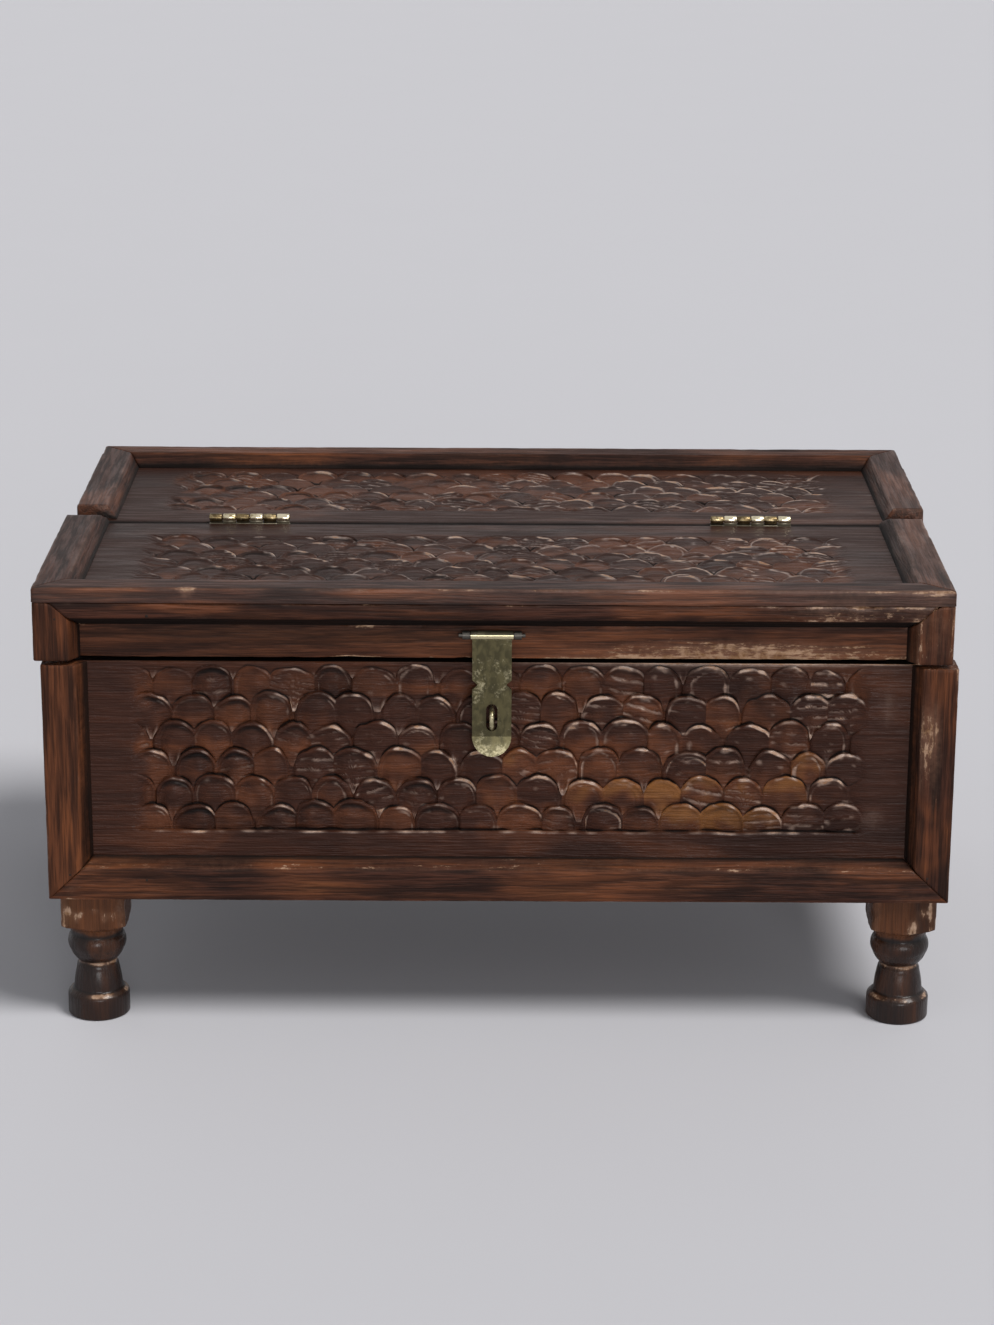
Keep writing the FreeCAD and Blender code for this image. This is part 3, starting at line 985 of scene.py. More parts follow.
                # Dark line at the joint on the inner edge; painted shade on the chamfer by gloom, and a
                # lighter chamfer by rub, partly wear and partly painted sheen.
                if self.chamfer:
                    slope = step(a, self.width - self.chamfer - 0.3, self.width - self.chamfer + 0.8)
                    dirt = 0.9 * bump_at(a - self.width, 1.2) + self.gloom * slope
                    worn += self.rub * slope
                tone = self.tone + self.edge_tone * (1 - step(a, 0.2, 1.6)) + warm_at(here)
                ring.append(draft.add(point, worn, dirt, tone))
            rings.append(ring)
        draft.tube(rings)
        return draft


OUT_OF_REACH = -1e9
GOLDEN_TONE = 0.8


@dataclass
class CarvedScale:
    """One carved scale, with the small unevenness of hand work."""

    middle: float
    apex: float
    radius: float
    lift: float
    tilt: float
    slope: float
    dish: float
    cuts: float
    cut_depth: float
    rub_at: float
    rub_width: float
    # wear: how light the rim is, partly wear and partly painted highlight.
    wear: float
    twin: float
    tone: float

    def edge(self, u: float) -> float:
        """Find the rounded edge at a place across the field.

        Args:
            u: Place across the field.

        Returns:
            Place of the edge along the board, far out of reach beside the scale.
        """
        inside = self.radius ** 2 - (u - self.middle) ** 2
        if inside <= 0:
            return OUT_OF_REACH - abs(u - self.middle)
        return self.apex - self.radius + math.sqrt(inside)

    def lit(self, u: float, v: float) -> float:
        """Return how strongly a place on the rounded edge is lit up, as wear and painted highlight: most at
        its top, to the right, where the light catches it.
        """
        angle = math.degrees(math.atan2(u - self.middle, max(v - self.apex + self.radius, 0.1)))
        return bump_at(angle - self.rub_at, self.rub_width)

    def from_edge(self, u: float, v: float) -> float:
        """Return the distance inward from the rounded edge and the sides below it."""
        up = max(v - self.apex + self.radius, 0.0)
        return self.radius - math.hypot(u - self.middle, up)


@dataclass
class CarvedBoard:
    """A board with rows of fish scales, each scale rising to a rounded edge."""

    node: str
    body: Body
    faces: Side
    ledge: float
    pitch: float
    depth: float = 1.8
    seed: int = 1
    jitter: float = 1.0
    rows: int = 6
    scales: int = 18
    width: float = 325.0
    rise: float = 7.5
    fineness: float = 0.55
    tone: float = 0.0
    glow: float = 0.0
    rim_wear_and_shine: float = 1.0
    rim: float = 0.65

    TOP_MARGIN = 1.2
    SIDE_STOPS = (0.006, 0.03, 0.12, 0.25, 0.4, 0.6, 0.8, 0.95)
    FAR_STOPS = (0.0, 0.18, 0.4, 0.7, 0.95)
    ROW_STOPS = (0.0, 0.02, 0.045, 0.075, 0.115, 0.165, 0.225, 0.29, 0.355, 0.42, 0.485, 0.55, 0.615,
                 0.68, 0.745, 0.805, 0.86, 0.905, 0.945, 0.975, 1.0)
    NEAR_STOPS = (0.0, 0.02, 0.05, 0.15, 0.35, 0.6, 0.85, 0.985, 1.0)

    def __post_init__(self) -> None:
        """Take the board's sizes from its solid and carve the rows in order."""
        self.low, self.high = box_mm(self.node)
        self.run = 2 if self.faces is Side.FRONT else 1
        self.centre = (self.low[0] + self.high[0]) / 2
        self.half = (self.high[0] - self.low[0]) / 2
        self.thick = (self.high - self.low)[self.faces.axis]
        self.random = random.Random(self.seed)
        self.lines = [self.scale_row(row) for row in range(self.rows)]

    def scale_row(self, row: int) -> list[CarvedScale]:
        """Lay out a row; every other row starts and ends with half a scale.

        Args:
            row: Row, counted from the far edge of the field.

        Returns:
            The scales of the row.
        """
        draw = self.random.uniform
        share = self.width / self.scales
        halved = row % 2 == 0
        count = self.scales + 1 if halved else self.scales
        radius = (share * share / 4 + self.rise ** 2) / (2 * self.rise)
        apex = self.ledge + (self.rows - row) * self.pitch
        made = []
        for i in range(count):
            middle = -self.width / 2 + share * (i if halved else i + 0.5)
            level = apex + draw(-1.2, 0.9) * self.jitter
            level += 1.1 * ripple((middle, row * 30, 0), 55, self.seed)
            near = sum(patch.at((middle, 0, level)) for patch in GOLDEN_SCALES) if self.glow else 0.0
            share_x = middle / self.width + 0.5
            made.append(CarvedScale(
                middle=middle + draw(-1.4, 1.4) * self.jitter,
                apex=level,
                radius=radius * (1 + draw(-0.03, 0.13) * self.jitter),
                lift=draw(-0.35, 0.0) * self.jitter,
                tilt=draw(-0.045, 0.045) * self.jitter,
                slope=draw(0.7, 1.3),
                dish=draw(0.15, 1.0) * (1.2 - 0.75 * share_x),
                cuts=draw(2.4, 6.0),
                cut_depth=draw(0.0, 0.5) * self.jitter,
                # The painted highlight sits to the right of each apex; wear and highlight grow towards the
                # right of the board.
                rub_at=draw(0, 50) * (1.15 - 0.8 * share_x),
                rub_width=draw(18, 50) * (0.7 + 0.5 * share_x),
                wear=draw(0.4, 1.7) * (0.75 + 0.9 * share_x) * self.rim_wear_and_shine,
                twin=max(0.0, draw(-0.8, 1.0)),
                tone=draw(-0.2, 0.7) + near * self.glow * draw(0.9, 1.25),
            ))
        return made

    @property
    def top(self) -> float:
        """Place of the far edge of the field."""
        return self.ledge + self.rows * self.pitch + self.TOP_MARGIN

    def edge(self, row: int, u: float) -> tuple[float, Optional[CarvedScale]]:
        """Find the edge of a row at a place across the field.

        Args:
            row: Row, or -1 above the first.
            u: Place across the field.

        Returns:
            Place of the edge along the board, and the scale that it belongs to.
        """
        if row < 0:
            return self.top, None
        if row >= self.rows:
            return self.ledge + 0.6 * ripple((u, 0, 0), 17, self.seed), None
        at = self.sway(row, u)
        owner = max(self.lines[row], key=lambda scale: scale.edge(at))
        nominal = self.ledge + (self.rows - row) * self.pitch
        chatter = 0.34 * ripple((u, row * 31, 0), 2.9, self.seed)
        chatter += 0.3 * ripple((u, row * 17, 5), 7.5, self.seed)
        return max(owner.edge(at), nominal - self.rise - 1.0) + chatter * self.jitter, owner

    def sway(self, row: int, u: float) -> float:
        """Move a place across the field as the carver's hand strayed in a row.

        Args:
            row: Row of the scale.
            u: Place across the field.

        Returns:
            The moved place.
        """
        stray = 2.0 * ripple((u, row * 23, 1), 10, self.seed)
        stray += 0.7 * ripple((u, row * 23, 4), 4.5, self.seed)
        return u + stray * self.jitter

    def surface(self, row: int, owner: Optional[CarvedScale], u: float, v: float,
                foot: float) -> tuple[float, float, float, float]:
        """Return the level of the wood and its values at a place in a row.

        Args:
            row: Row of the scale, or -1 above the first.
            owner: Scale at that place.
            u: Place across the field.
            v: Place along the board.
            foot: Edge of the next row below that place.

        Returns:
            Level below the face, wear with painted highlight, soiling with painted shade, and tone.
        """
        grain = 0.10 * ripple((u * 0.35, v, row), 2.3, self.seed) + 0.08 * ripple((u, v, 3), 7, self.seed)
        land = self.land(row, u, v, foot)
        groove = self.groove(row, u, v, foot) * (1 - 0.8 * land)
        # Above the first row the groove is darkened with painted shade.
        if owner is None:
            below = self.top - v
            level = -self.depth * 0.75 * step(below, 0.0, self.rise)
            level += (max(level, -0.3) - level) * land
            return level + grain, 0.25 * bump_at(below, 0.5) + 0.65 * land, 0.7 * groove, 0.1
        at = self.sway(row, u)
        inside = owner.from_edge(at, v)
        level = -self.depth * owner.slope * (owner.apex - v) / (self.pitch + self.rise)
        level += owner.lift + owner.tilt * (at - owner.middle)
        level -= 0.35 * ((at - owner.middle) / owner.radius) ** 2
        chip = ripple((u, v * 0.5, 11), 3.4, self.seed)
        level -= (0.5 + 0.4 * chip) * bump_at(max(inside, 0.0), 0.55 + 0.3 * chip)
        hollow = step(inside, 0.7, 2.0) * (1 - step(inside, 2.3, 8.0))
        level -= owner.dish * hollow
        level += 0.22 * ripple((u, v, 17), 5.5, self.seed)
        slant = owner.tilt * 6 * (at - owner.middle) + 1.5 * ripple((u, row, 2), 11, self.seed)
        fall = ((inside if owner.twin > 0.15 else owner.apex - v) + slant) / owner.cuts
        cut = fall % 1.0
        cutting = step(inside, 0.6, 1.8) * (1 - step(inside, 2.6, 5.0) if owner.twin > 0.15 else 1.0)
        level += owner.cut_depth * (cut - 0.5) * cutting
        level -= 0.3 * groove
        level += (max(level, -0.35) - level) * land
        # Rims lighter where the light catches them, most at the top and to the right: partly wear, partly
        # painted highlight; the second rim line likewise.
        lit = 0.12 + owner.lit(at, v)
        broken = 0.3 + 0.7 * step(ripple((u, v, 13), 4.2, self.seed), -0.4, 0.1)
        worn = 1.15 * owner.wear * bump_at(inside - 0.5, self.rim) * (0.8 + 0.7 * chip) * lit * broken
        twin = owner.twin * bump_at(inside - 2.4, 0.45) * lit * broken
        level += 0.25 * twin
        worn += 1.1 * twin
        # More light marks towards the right of the board, partly wear and partly painted highlight; the
        # land left in the notches is lighter too.
        right = u / self.width + 0.5
        worn += (0.45 + 1.1 * right) * max(0.0, ripple((u * 0.5, v, 7), 2.6, self.seed) - 0.27)
        strokes = owner.cut_depth * bump_at(cut - 0.15, 0.2) * broken * cutting
        worn += (0.9 + 0.9 * right) * strokes + 0.7 * land
        # Painted shade: the grooves darkened, more on the top boards, and a painted shadow in the hollow
        # under each rim.
        crescent = owner.dish * bump_at(inside - 2.5, 1.5) * step(v, owner.apex - 8, owner.apex - 3)
        dirt = (0.95 if self.faces is Side.FRONT else 1.6) * groove + 0.75 * crescent
        return min(level + grain, -0.02), worn, dirt, self.scale_tone(owner, u, v)

    def scale_tone(self, owner: CarvedScale, u: float, v: float) -> float:
        """Find how warm the wood of a scale is; the ordinary ones are warmer towards the foot, a painted
        light where the lower part faces up, and the golden ones are darker at the foot.

        Args:
            owner: Scale at that place.
            u: Place across the field.
            v: Place along the board.

        Returns:
            The tone at that place.
        """
        lower = step(owner.apex - v, 3.0, 13.0)
        cloud = ripple((u, v, 23), 6, self.seed)
        if owner.tone > GOLDEN_TONE:
            return owner.tone * (1.25 - 0.7 * lower) + 0.9 * cloud
        return owner.tone + 0.3 * lower - 0.1 + 0.4 * cloud

    def land(self, row: int, u: float, v: float, foot: float) -> float:
        """Find how much of the wood is left standing in the notch between two scales below.

        Args:
            row: Row above the notch, or -1 above the first.
            u: Place across the field.
            v: Place along the board.
            foot: Edge of the next row below that place.

        Returns:
            Share that is left, from zero to one.
        """
        if row + 1 >= self.rows or self.faces is Side.UP:
            return 0.0
        low, high = (-0.6, 0.0) if row < 0 else (-0.25, 0.35)
        kept = step(ripple((u, row * 40, 9), 8, self.seed + 4), low, high) * (0.95 - 0.5 * u / self.width)
        return self.notch(row, foot) * bump_at(v - foot, 2.6) * min(kept, 1.0)

    def groove(self, row: int, u: float, v: float, foot: float) -> float:
        """Find how deep the cut along the foot of a row is.

        Args:
            row: Row above the cut, or -1 above the first.
            u: Place across the field.
            v: Place along the board.
            foot: Edge of the next row below that place.

        Returns:
            Depth of the cut, about one where it is deepest.
        """
        deep = self.notch(row, foot)
        cut = bump_at(v - foot, 0.95)
        cut *= 0.45 + 0.65 * step(ripple((u, row * 13, 21), 9, self.seed), -0.35, 0.3)
        return cut * (0.55 + 0.9 * deep if self.faces is Side.UP else 1 - 0.6 * deep)

    def notch(self, row: int, foot: float) -> float:
        """Return how far a place at the foot of a row lies down in the notch between two scales."""
        apex = self.ledge + (self.rows - row - 1) * self.pitch
        return step(apex - foot, 2.4, 6.0)

    def place(self, u: float, v: float, w: float) -> Point:
        """Find a place on the board in the box's own frame.

        Args:
            u: Place across the board.
            v: Place along the board.
            w: Level above the face.

        Returns:
            The place in millimetres.
        """
        if self.faces is Side.FRONT:
            return (self.centre + u, self.low[1] - w, v)
        return (self.centre + u, v, self.high[2] + w)

    def columns(self) -> list[float]:
        """Space the columns of points, close together in the field.

        Returns:
            The places across the board.
        """
        field_half = self.width / 2
        count = int(self.width / self.fineness)
        inner = [field_half * (2 * k / count - 1) for k in range(count + 1)]
        margin = self.half - field_half
        outer = [field_half + margin * stop for stop in self.SIDE_STOPS]
        outer += [self.half - 0.4, self.half]
        return [-u for u in reversed(outer)] + inner + outer

    def levels(self, u: float) -> list[tuple[float, float, float, float, float]]:
        """Work out the points of one column from the far edge to the near one.

        Args:
            u: Place across the board.

        Returns:
            Place along the board, level, wear with painted highlight, soiling with painted shade, and tone
            of each point.
        """
        first, last = self.low[self.run], self.high[self.run]
        field_half = self.width / 2
        inside = abs(u) <= field_half + 1e-6
        clipped = min(max(u, -field_half), field_half)
        made = []
        margin = self.tone - 0.3 * step(-u, 150, 180)
        for share in self.FAR_STOPS:
            v = last + (self.top - last) * share
            rim = bump_at(last - v, 0.35)
            # The front board's top arris is lighter, more to the right: partly wear, partly painted
            # highlight.
            faint = (0.3 + 0.45 * step(u, 0.0, 60.0)) * (1 + 0.9 * ripple((u, 1, 0), 24, self.seed))
            worn, dirt = (0.0, rim) if self.faces is Side.UP else (faint * rim, 0.0)
            made.append((v, -0.45 * bump_at(last - v, 0.25), worn, dirt, margin))
        for row in range(-1, self.rows):
            edge, owner = self.edge(row, clipped)
            below, _ = self.edge(row + 1, clipped)
            foot = below + 0.3
            for share in self.ROW_STOPS if row >= 0 else self.ROW_STOPS[::3]:
                v = edge + (foot - edge) * share
                if inside:
                    level, *values = self.surface(row, owner, clipped, v, foot)
                    reach = 9.0 + 7.0 * ripple((u, v, 0), 10, self.seed + 7)
                    fade = step(field_half - abs(u), 0.0, max(reach, 3.0))
                    worn, dirt, tone = values
                    tone = margin + (tone - margin) * fade
                    made.append((v, level * fade, worn * fade, dirt * fade, tone))
                else:
                    made.append((v, 0.0, 0.0, 0.0, margin))
        ledge, _ = self.edge(self.rows, clipped)
        kept = step(field_half - abs(u), 0.0, 14.0)
        for share in self.NEAR_STOPS:
            v = ledge + (first - ledge) * share
            # The ledge below the field is lighter along its edge: partly wear, partly painted highlight.
            worn = kept * (0.45 + 0.9 * ripple((u, 3, 0), 6, self.seed)) * bump_at(v - ledge, 0.9)
            sunk = 0.3 * kept * bump_at(v - ledge, 0.2)
            rim = bump_at(v - first, 0.5)
            dirt = rim if self.faces is Side.UP else 0.0
            made.append((v, -sunk - 0.45 * bump_at(v - first, 0.25), worn, dirt, margin + 0.15))
        return made

    def build(self) -> Draft:
        """Make the board, carved on its face and plain behind.

        Returns:
            Its mesh.
        """
        draft = Draft(self.seed * 0.37)
        # under: painted shadow on the front board's top face, which lies under the lid.
        under = 1.0 if self.faces is Side.FRONT else 0.0
        columns = []
        backs = []
        for u in self.columns():
            column = []
            side = -0.4 * bump_at(self.half - abs(u), 0.25)
            for v, w, worn, dirt, tone in self.levels(u):
                here = self.place(u, v, 0)
                level = w + side - 0.05 + 0.05 * ripple(here, 38, self.seed)
                column.append(draft.add(self.place(u, v, level), worn + wear_at(here), dirt, tone))
            columns.append(column)
            far, near = self.high[self.run], self.low[self.run]
            column.insert(0, draft.add(self.place(u, far, -1.1), 0.0, under))
            backs.append([draft.add(self.place(u, far, -self.thick), 0.0, under, 0.1),
                          draft.add(self.place(u, near, -self.thick), 0.0, 0.0, 0.1)])
        draft.bands(columns, closed=False)
        draft.bands([[back[1], back[0]] for back in backs], closed=False)
        draft.bands([[back[0], column[0]] for back, column in zip(backs, columns)], closed=False)
        draft.bands([[column[-1], back[1]] for back, column in zip(backs, columns)], closed=False)
        for end in (0, -1):
            draft.faces.append([*columns[end], backs[end][1], backs[end][0]])
        return draft


def arc(start: Flat, middle: Flat, end: Flat, count: int) -> list[Flat]:
    """Divide the arc through three points of a profile.

    Args:
        start: First point.
        middle: A point on the way.
        end: Last point.
        count: Number of steps.

    Returns:
        The points on the arc, without the first.
    """
    (ax, ay), (bx, by), (cx, cy) = start, middle, end
    d = 2 * (ax * (by - cy) + bx * (cy - ay) + cx * (ay - by))
    a2, b2, c2 = ax * ax + ay * ay, bx * bx + by * by, cx * cx + cy * cy
    ox = (a2 * (by - cy) + b2 * (cy - ay) + c2 * (ay - by)) / d
    oy = (a2 * (cx - bx) + b2 * (ax - cx) + c2 * (bx - ax)) / d
    radius = math.hypot(ax - ox, ay - oy)
    angles = [math.atan2(y - oy, x - ox) for x, y in (start, middle, end)]
    turn = (angles[2] - angles[0] + math.pi) % (2 * math.pi) - math.pi
    return [
        (ox + radius * math.cos(angles[0] + turn * k / count),
         oy + radius * math.sin(angles[0] + turn * k / count))
        for k in range(1, count + 1)
    ]


def square_reach(half: float, angle: float, power: int) -> float:
    """Return how far a square with rounded corners reaches in a direction."""
    return half / (abs(math.cos(angle)) ** power + abs(math.sin(angle)) ** power) ** (1 / power)


@dataclass
class TurnedFoot:
    """A foot turned from a square billet, with pale scuffed rings at its waist and base."""

    node: str
    block: float = 29.0
    height: float = 60.3
    tenon: float = 7.0
    facets: int = 96
    squareness: int = 18
    seed: float = 0.0

    WORN_RINGS = ((25.6, 1.1, 1.25), (37.9, 0.5, 0.25), (44.3, 0.9, 0.35), (1.0, 0.8, 0.25))
    # Darker rings in the coves of the turning.
    DARK_RINGS = ((39.2, 0.7, 0.8), (12.6, 0.5, 0.6), (27.2, 0.9, 0.4))
    CHAFED_RING = 11.4
    SHOULDER = (44.0, 46.0)
    WARM_FROM = (39.5, 42.0)

    def profile(self) -> list[tuple[float, float, float, float]]:
        """Work out the turned profile from the floor up.

        Returns:
            Radius, height, wear and darkening of each ring.
        """
        corner = self.block * 0.71
        outline: list[Flat] = [(6.0, 0.0), (12.9, 0.0)]
        outline += arc(outline[-1], (13.75, 0.35), (14.0, 1.2), 4)
        outline += [(14.0, z) for z in (3.5, 6.5, 9.2)]
        outline += arc(outline[-1], (13.85, 10.0), (13.3, 10.8), 3)
        outline += [(12.4, 11.7), (11.6, 12.3)]
        outline += arc(outline[-1], (11.2, 12.7), (11.05, 13.3), 3)
        outline += arc(outline[-1], (10.5, 18.0), (9.6, 22.4), 12)
        outline += arc(outline[-1], (9.25, 24.0), (8.6, 25.2), 6)
        outline += arc(outline[-1], (8.5, 25.7), (8.9, 26.2), 3)
        outline += arc(outline[-1], (11.0, 28.6), (12.3, 31.4), 10)
        outline += arc(outline[-1], (13.2, 34.6), (12.5, 37.7), 14)
        outline += [(12.0, 38.4), (11.75, 38.9), (11.8, 39.8)]
        outline += arc(outline[-1], (12.45, 42.0), (14.0, 43.85), 7)
        outline += [(14.6, 44.15), (16.5, 44.75), (18.6, 45.35), (corner, 45.95)]
        outline += [(corner + 0.1, 46.6 + 1.5 * k) for k in range(9)]
        outline += [(corner + 0.1, self.height - 0.05)]
        rings = []
        for radius, z in outline:
            worn = sum(most * bump_at(z - level, width) for level, width, most in self.WORN_RINGS)
            dirt = sum(most * bump_at(z - level, width) for level, width, most in self.DARK_RINGS)
            rings.append((radius, z, worn, dirt))
        return rings

    def build(self) -> Draft:
        """Make the foot with its tenon.

        Returns:
            Its mesh.
        """
        low, high = box_mm(self.node)
        centre = (low + high) / 2
        draft = Draft(self.seed)
        half = self.block / 2
        rings = []
        for radius, z, worn, dirt in self.profile():
            ring = []
            for k in range(self.facets):
                angle = 2 * math.pi * (k + 0.5) / self.facets
                c, s = math.cos(angle), math.sin(angle)
                reach = min(radius, square_reach(half, angle, self.squareness))
                squared = step(z, *self.SHOULDER) * step(reach, half * 1.16, half * 1.3)
                here = (centre.x + reach * c, centre.y + reach * s, z)
                reach -= 0.08 + 0.09 * ripple(here, 9, self.seed) + 0.05 * ripple(here, 3, self.seed + 3)
                reach -= squared * max(0.0, ripple(here, 5, self.seed + 6)) * 1.3
                point = (centre.x + reach * c, centre.y + reach * s, z)
                rubbed_and_highlight = worn * (0.75 + 0.6 * ripple(here, 7, self.seed + 1)) + 0.55 * squared
                chafed = max(0.0, 0.75 + ripple(here, 8, self.seed + 2))
                rubbed_and_highlight += wear_at(here) + bump_at(z - self.CHAFED_RING, 1.0) * chafed
                tone = 0.85 * step(z, *self.WARM_FROM) + 0.05 + warm_at(here)
                ring.append(draft.add(point, rubbed_and_highlight, dirt, tone))
            rings.append(ring)
        for z in (self.height - 0.05, high.z):
            ring = []
            for k in range(self.facets):
                angle = 2 * math.pi * (k + 0.5) / self.facets
                ring.append(draft.add((centre.x + self.tenon * math.cos(angle),
                                       centre.y + self.tenon * math.sin(angle), z)))
            rings.append(ring)
        draft.tube(rings)
        return draft


@dataclass
class NailSet:
    """The square nails of a set of strips, two to each, with hammered heads."""

    node: str
    body: Body
    strips: Sequence[WornStrip]
    head: float = 1.6
    shank: float = 1.2
    length: float = 12.5
    inset: float = 7.5
    inset_share: float = 0.11
    sunk: float = 0.12
    sides: int = 12
    squareness: int = 6

    def build(self) -> Draft:
        """Make all the nails.

        Returns:
            Their mesh.
        """
        draft = Draft()
        dice = random.Random(len(self.strips))
        for strip in self.strips:
            reach = strip.length / 2 - max(self.inset, strip.length * self.inset_share)
            for sense in (-1, 1):
                turn = dice.uniform(-0.4, 0.4)
                middle = (strip.length / 2 + sense * reach, strip.width / 2)
                top = strip.thick - self.sunk
                levels = (
                    (top - self.length, self.shank * 0.3), (top - 2.0, self.shank), (top - 0.8, self.shank),
                    (top - 0.55, self.head), (top - 0.16, self.head * 0.96), (top, self.head * 0.55),
                )
                rings = []
                for level, width in levels:
                    ring = []
                    for k in range(self.sides):
                        angle = 2 * math.pi * k / self.sides + turn
                        flat = square_reach(width / 2, angle, self.squareness)
                        along = middle[0] + flat * math.cos(angle)
                        across = middle[1] + flat * math.sin(angle)
                        ring.append(draft.add(strip.place(along, across, level)))
                    rings.append(ring)
                draft.tube(rings)
        return draft


def body_strips() -> list[WornStrip]:
    """List the strips of the body.

    Returns:
        The strips, with the wear of each.
    """
    box = Body.BOX
    made = [
        WornStrip("front_left_strip", box, Side.FRONT, Side.LEFT, STILE_MITRE, SQUARE, tone=0.95,
                  gloom=0.45, seed=1),
        WornStrip("front_right_strip", box, Side.FRONT, Side.RIGHT, STILE_MITRE, SQUARE, tone=0.55,
                  gloom=0.45, seed=2),
        WornStrip("front_bottom_strip", box, Side.FRONT, Side.DOWN, BASE_MITRE, BASE_MITRE, tone=0.5,
                  gloom=0.0, rub=0.45, chips=0.12, seed=3),
        WornStrip("rear_top_left_strip", box, Side.UP, Side.LEFT, SQUARE, TOP_MITRE, tone=0.15, seed=4),
        WornStrip("rear_top_right_strip", box, Side.UP, Side.RIGHT, SQUARE, TOP_MITRE, tone=0.2, seed=5),
        WornStrip("rear_top_back_strip", box, Side.UP, Side.BACK, TOP_MITRE, TOP_MITRE, tone=0.5,
                  gloom=0.3, seed=6),
    ]
    for order, side in enumerate((Side.LEFT, Side.RIGHT)):
        name, seed = side.name.lower(), 10 + 10 * order
        made += [
            WornStrip(f"{name}_side_front_strip", box, side, Side.FRONT, STILE_MITRE, SQUARE, seed=seed),
            WornStrip(f"{name}_side_bottom_strip", box, side, Side.DOWN, LAPPED_BASE, BASE_MITRE,
                      tone=0.25, seed=seed + 1),
            WornStrip(f"{name}_side_rear_strip", box, side, Side.BACK, STILE_MITRE, LAPPED_STILE,
                      tone=0.2, seed=seed + 2),
            WornStrip(f"{name}_side_upper_strip", box, side, Side.UP, SQUARE, RAIL_MITRE, seed=seed + 3),
        ]
    return made


def lid_strips() -> list[WornStrip]:
    """List the strips of the lid.

    Returns:
        The strips, with the wear of each.
    """
    lid = Body.LID
    made = [
        WornStrip("lid_front_left_strip", lid, Side.FRONT, Side.LEFT, SQUARE, LAPPED_STILE, tone=0.65,
                  seed=31),
        WornStrip("lid_front_right_strip", lid, Side.FRONT, Side.RIGHT, SQUARE, LAPPED_STILE, tone=0.6,
                  rub=0.25, chips=0.25, seed=32),
        # Its gloom is a painted shade on its chamfer, which faces down.
        WornStrip("lid_front_upper_strip", lid, Side.FRONT, Side.UP, RAIL_MITRE, RAIL_MITRE, tone=0.2,
                  gloom=1.25, seed=33),
        WornStrip("lid_top_left_strip", lid, Side.UP, Side.LEFT, TOP_MITRE, SQUARE, tone=0.15, seed=34,
                  runs_out=True),
        WornStrip("lid_top_right_strip", lid, Side.UP, Side.RIGHT, TOP_MITRE, SQUARE, tone=0.2, seed=35,
                  runs_out=True),
        WornStrip("lid_top_front_strip", lid, Side.UP, Side.FRONT, TOP_MITRE, TOP_MITRE, tone=0.2,
                  edge_tone=0.36, seed=36),
    ]
    for order, side in enumerate((Side.LEFT, Side.RIGHT)):
        name, seed = side.name.lower(), 40 + 10 * order
        made += [
            WornStrip(f"lid_{name}_upper_strip", lid, side, Side.UP, RAIL_MITRE, SQUARE, seed=seed),
            WornStrip(f"lid_{name}_front_strip", lid, side, Side.FRONT, SQUARE, SHORT_STILE, seed=seed + 1),
        ]
    return made


@dataclass
class StripWork:
    """All the strips of the box, and the nails that hold them."""

    body: list[WornStrip] = field(default_factory=body_strips)
    lid: list[WornStrip] = field(default_factory=lid_strips)

    def make(self) -> None:
        """Build and dress every strip and nail."""
        finishes = {grain: STRIP_WOOD.material(grain) for grain in Grain}
        tops = {grain: STRIP_TOP.material(grain) for grain in (Grain.X, Grain.Y)}
        for strip in self.body + self.lid:
            kinds = tops if strip.faces is Side.UP and strip.outer is not Side.BACK else finishes
            finish = kinds[Grain(strip.run)]
            strip.build().piece(f"worn_{strip.node}", strip.body, "strip_wood", [strip.node], finish)
        iron = NAIL_IRON.material()
        for node, strips in (("body_strip_nails", self.body), ("lid_strip_nails", self.lid)):
            nails = NailSet(node, strips[0].body, strips)
            nails.build().piece(f"hammered_{nails.node}", nails.body, "nail_iron", [nails.node], iron)


RAW_DEPTH = 1.0


@dataclass
class Carving:
    """The three carved boards."""

    boards: list[CarvedBoard] = field(default_factory=lambda: [
        CarvedBoard("front_board", Body.BOX, Side.FRONT, 90.9, 12.8, seed=11, jitter=1.25, glow=1.0),
        CarvedBoard("lid_top_board", Body.LID, Side.UP, -90.4, 12.7, depth=1.5, seed=12, jitter=1.15,
                    rim_wear_and_shine=1.3, rim=1.0),
        CarvedBoard("rear_top_board", Body.BOX, Side.UP, 31.5, 12.7, depth=1.35, seed=13, jitter=1.2,
                    rim_wear_and_shine=1.3, rim=1.0),
    ])

    def make(self) -> None:
        """Build and dress the boards, each bare on the face inside the box."""
        for board in self.boards:
            inner = board.faces.opposite
            level = board.high[1] if inner is Side.BACK else -board.low[2]
            kind = CARVED_WOOD if board.faces is Side.FRONT else CARVED_TOP
            finish = kind.material(Grain.X, RawFace(inner, level - RAW_DEPTH))
            finish.name = f"carved_wood_{board.node}"
            shape = board.build()
            shape.piece(f"scaled_{board.node}", board.body, "carved_wood", [board.node], finish, sharp=62)


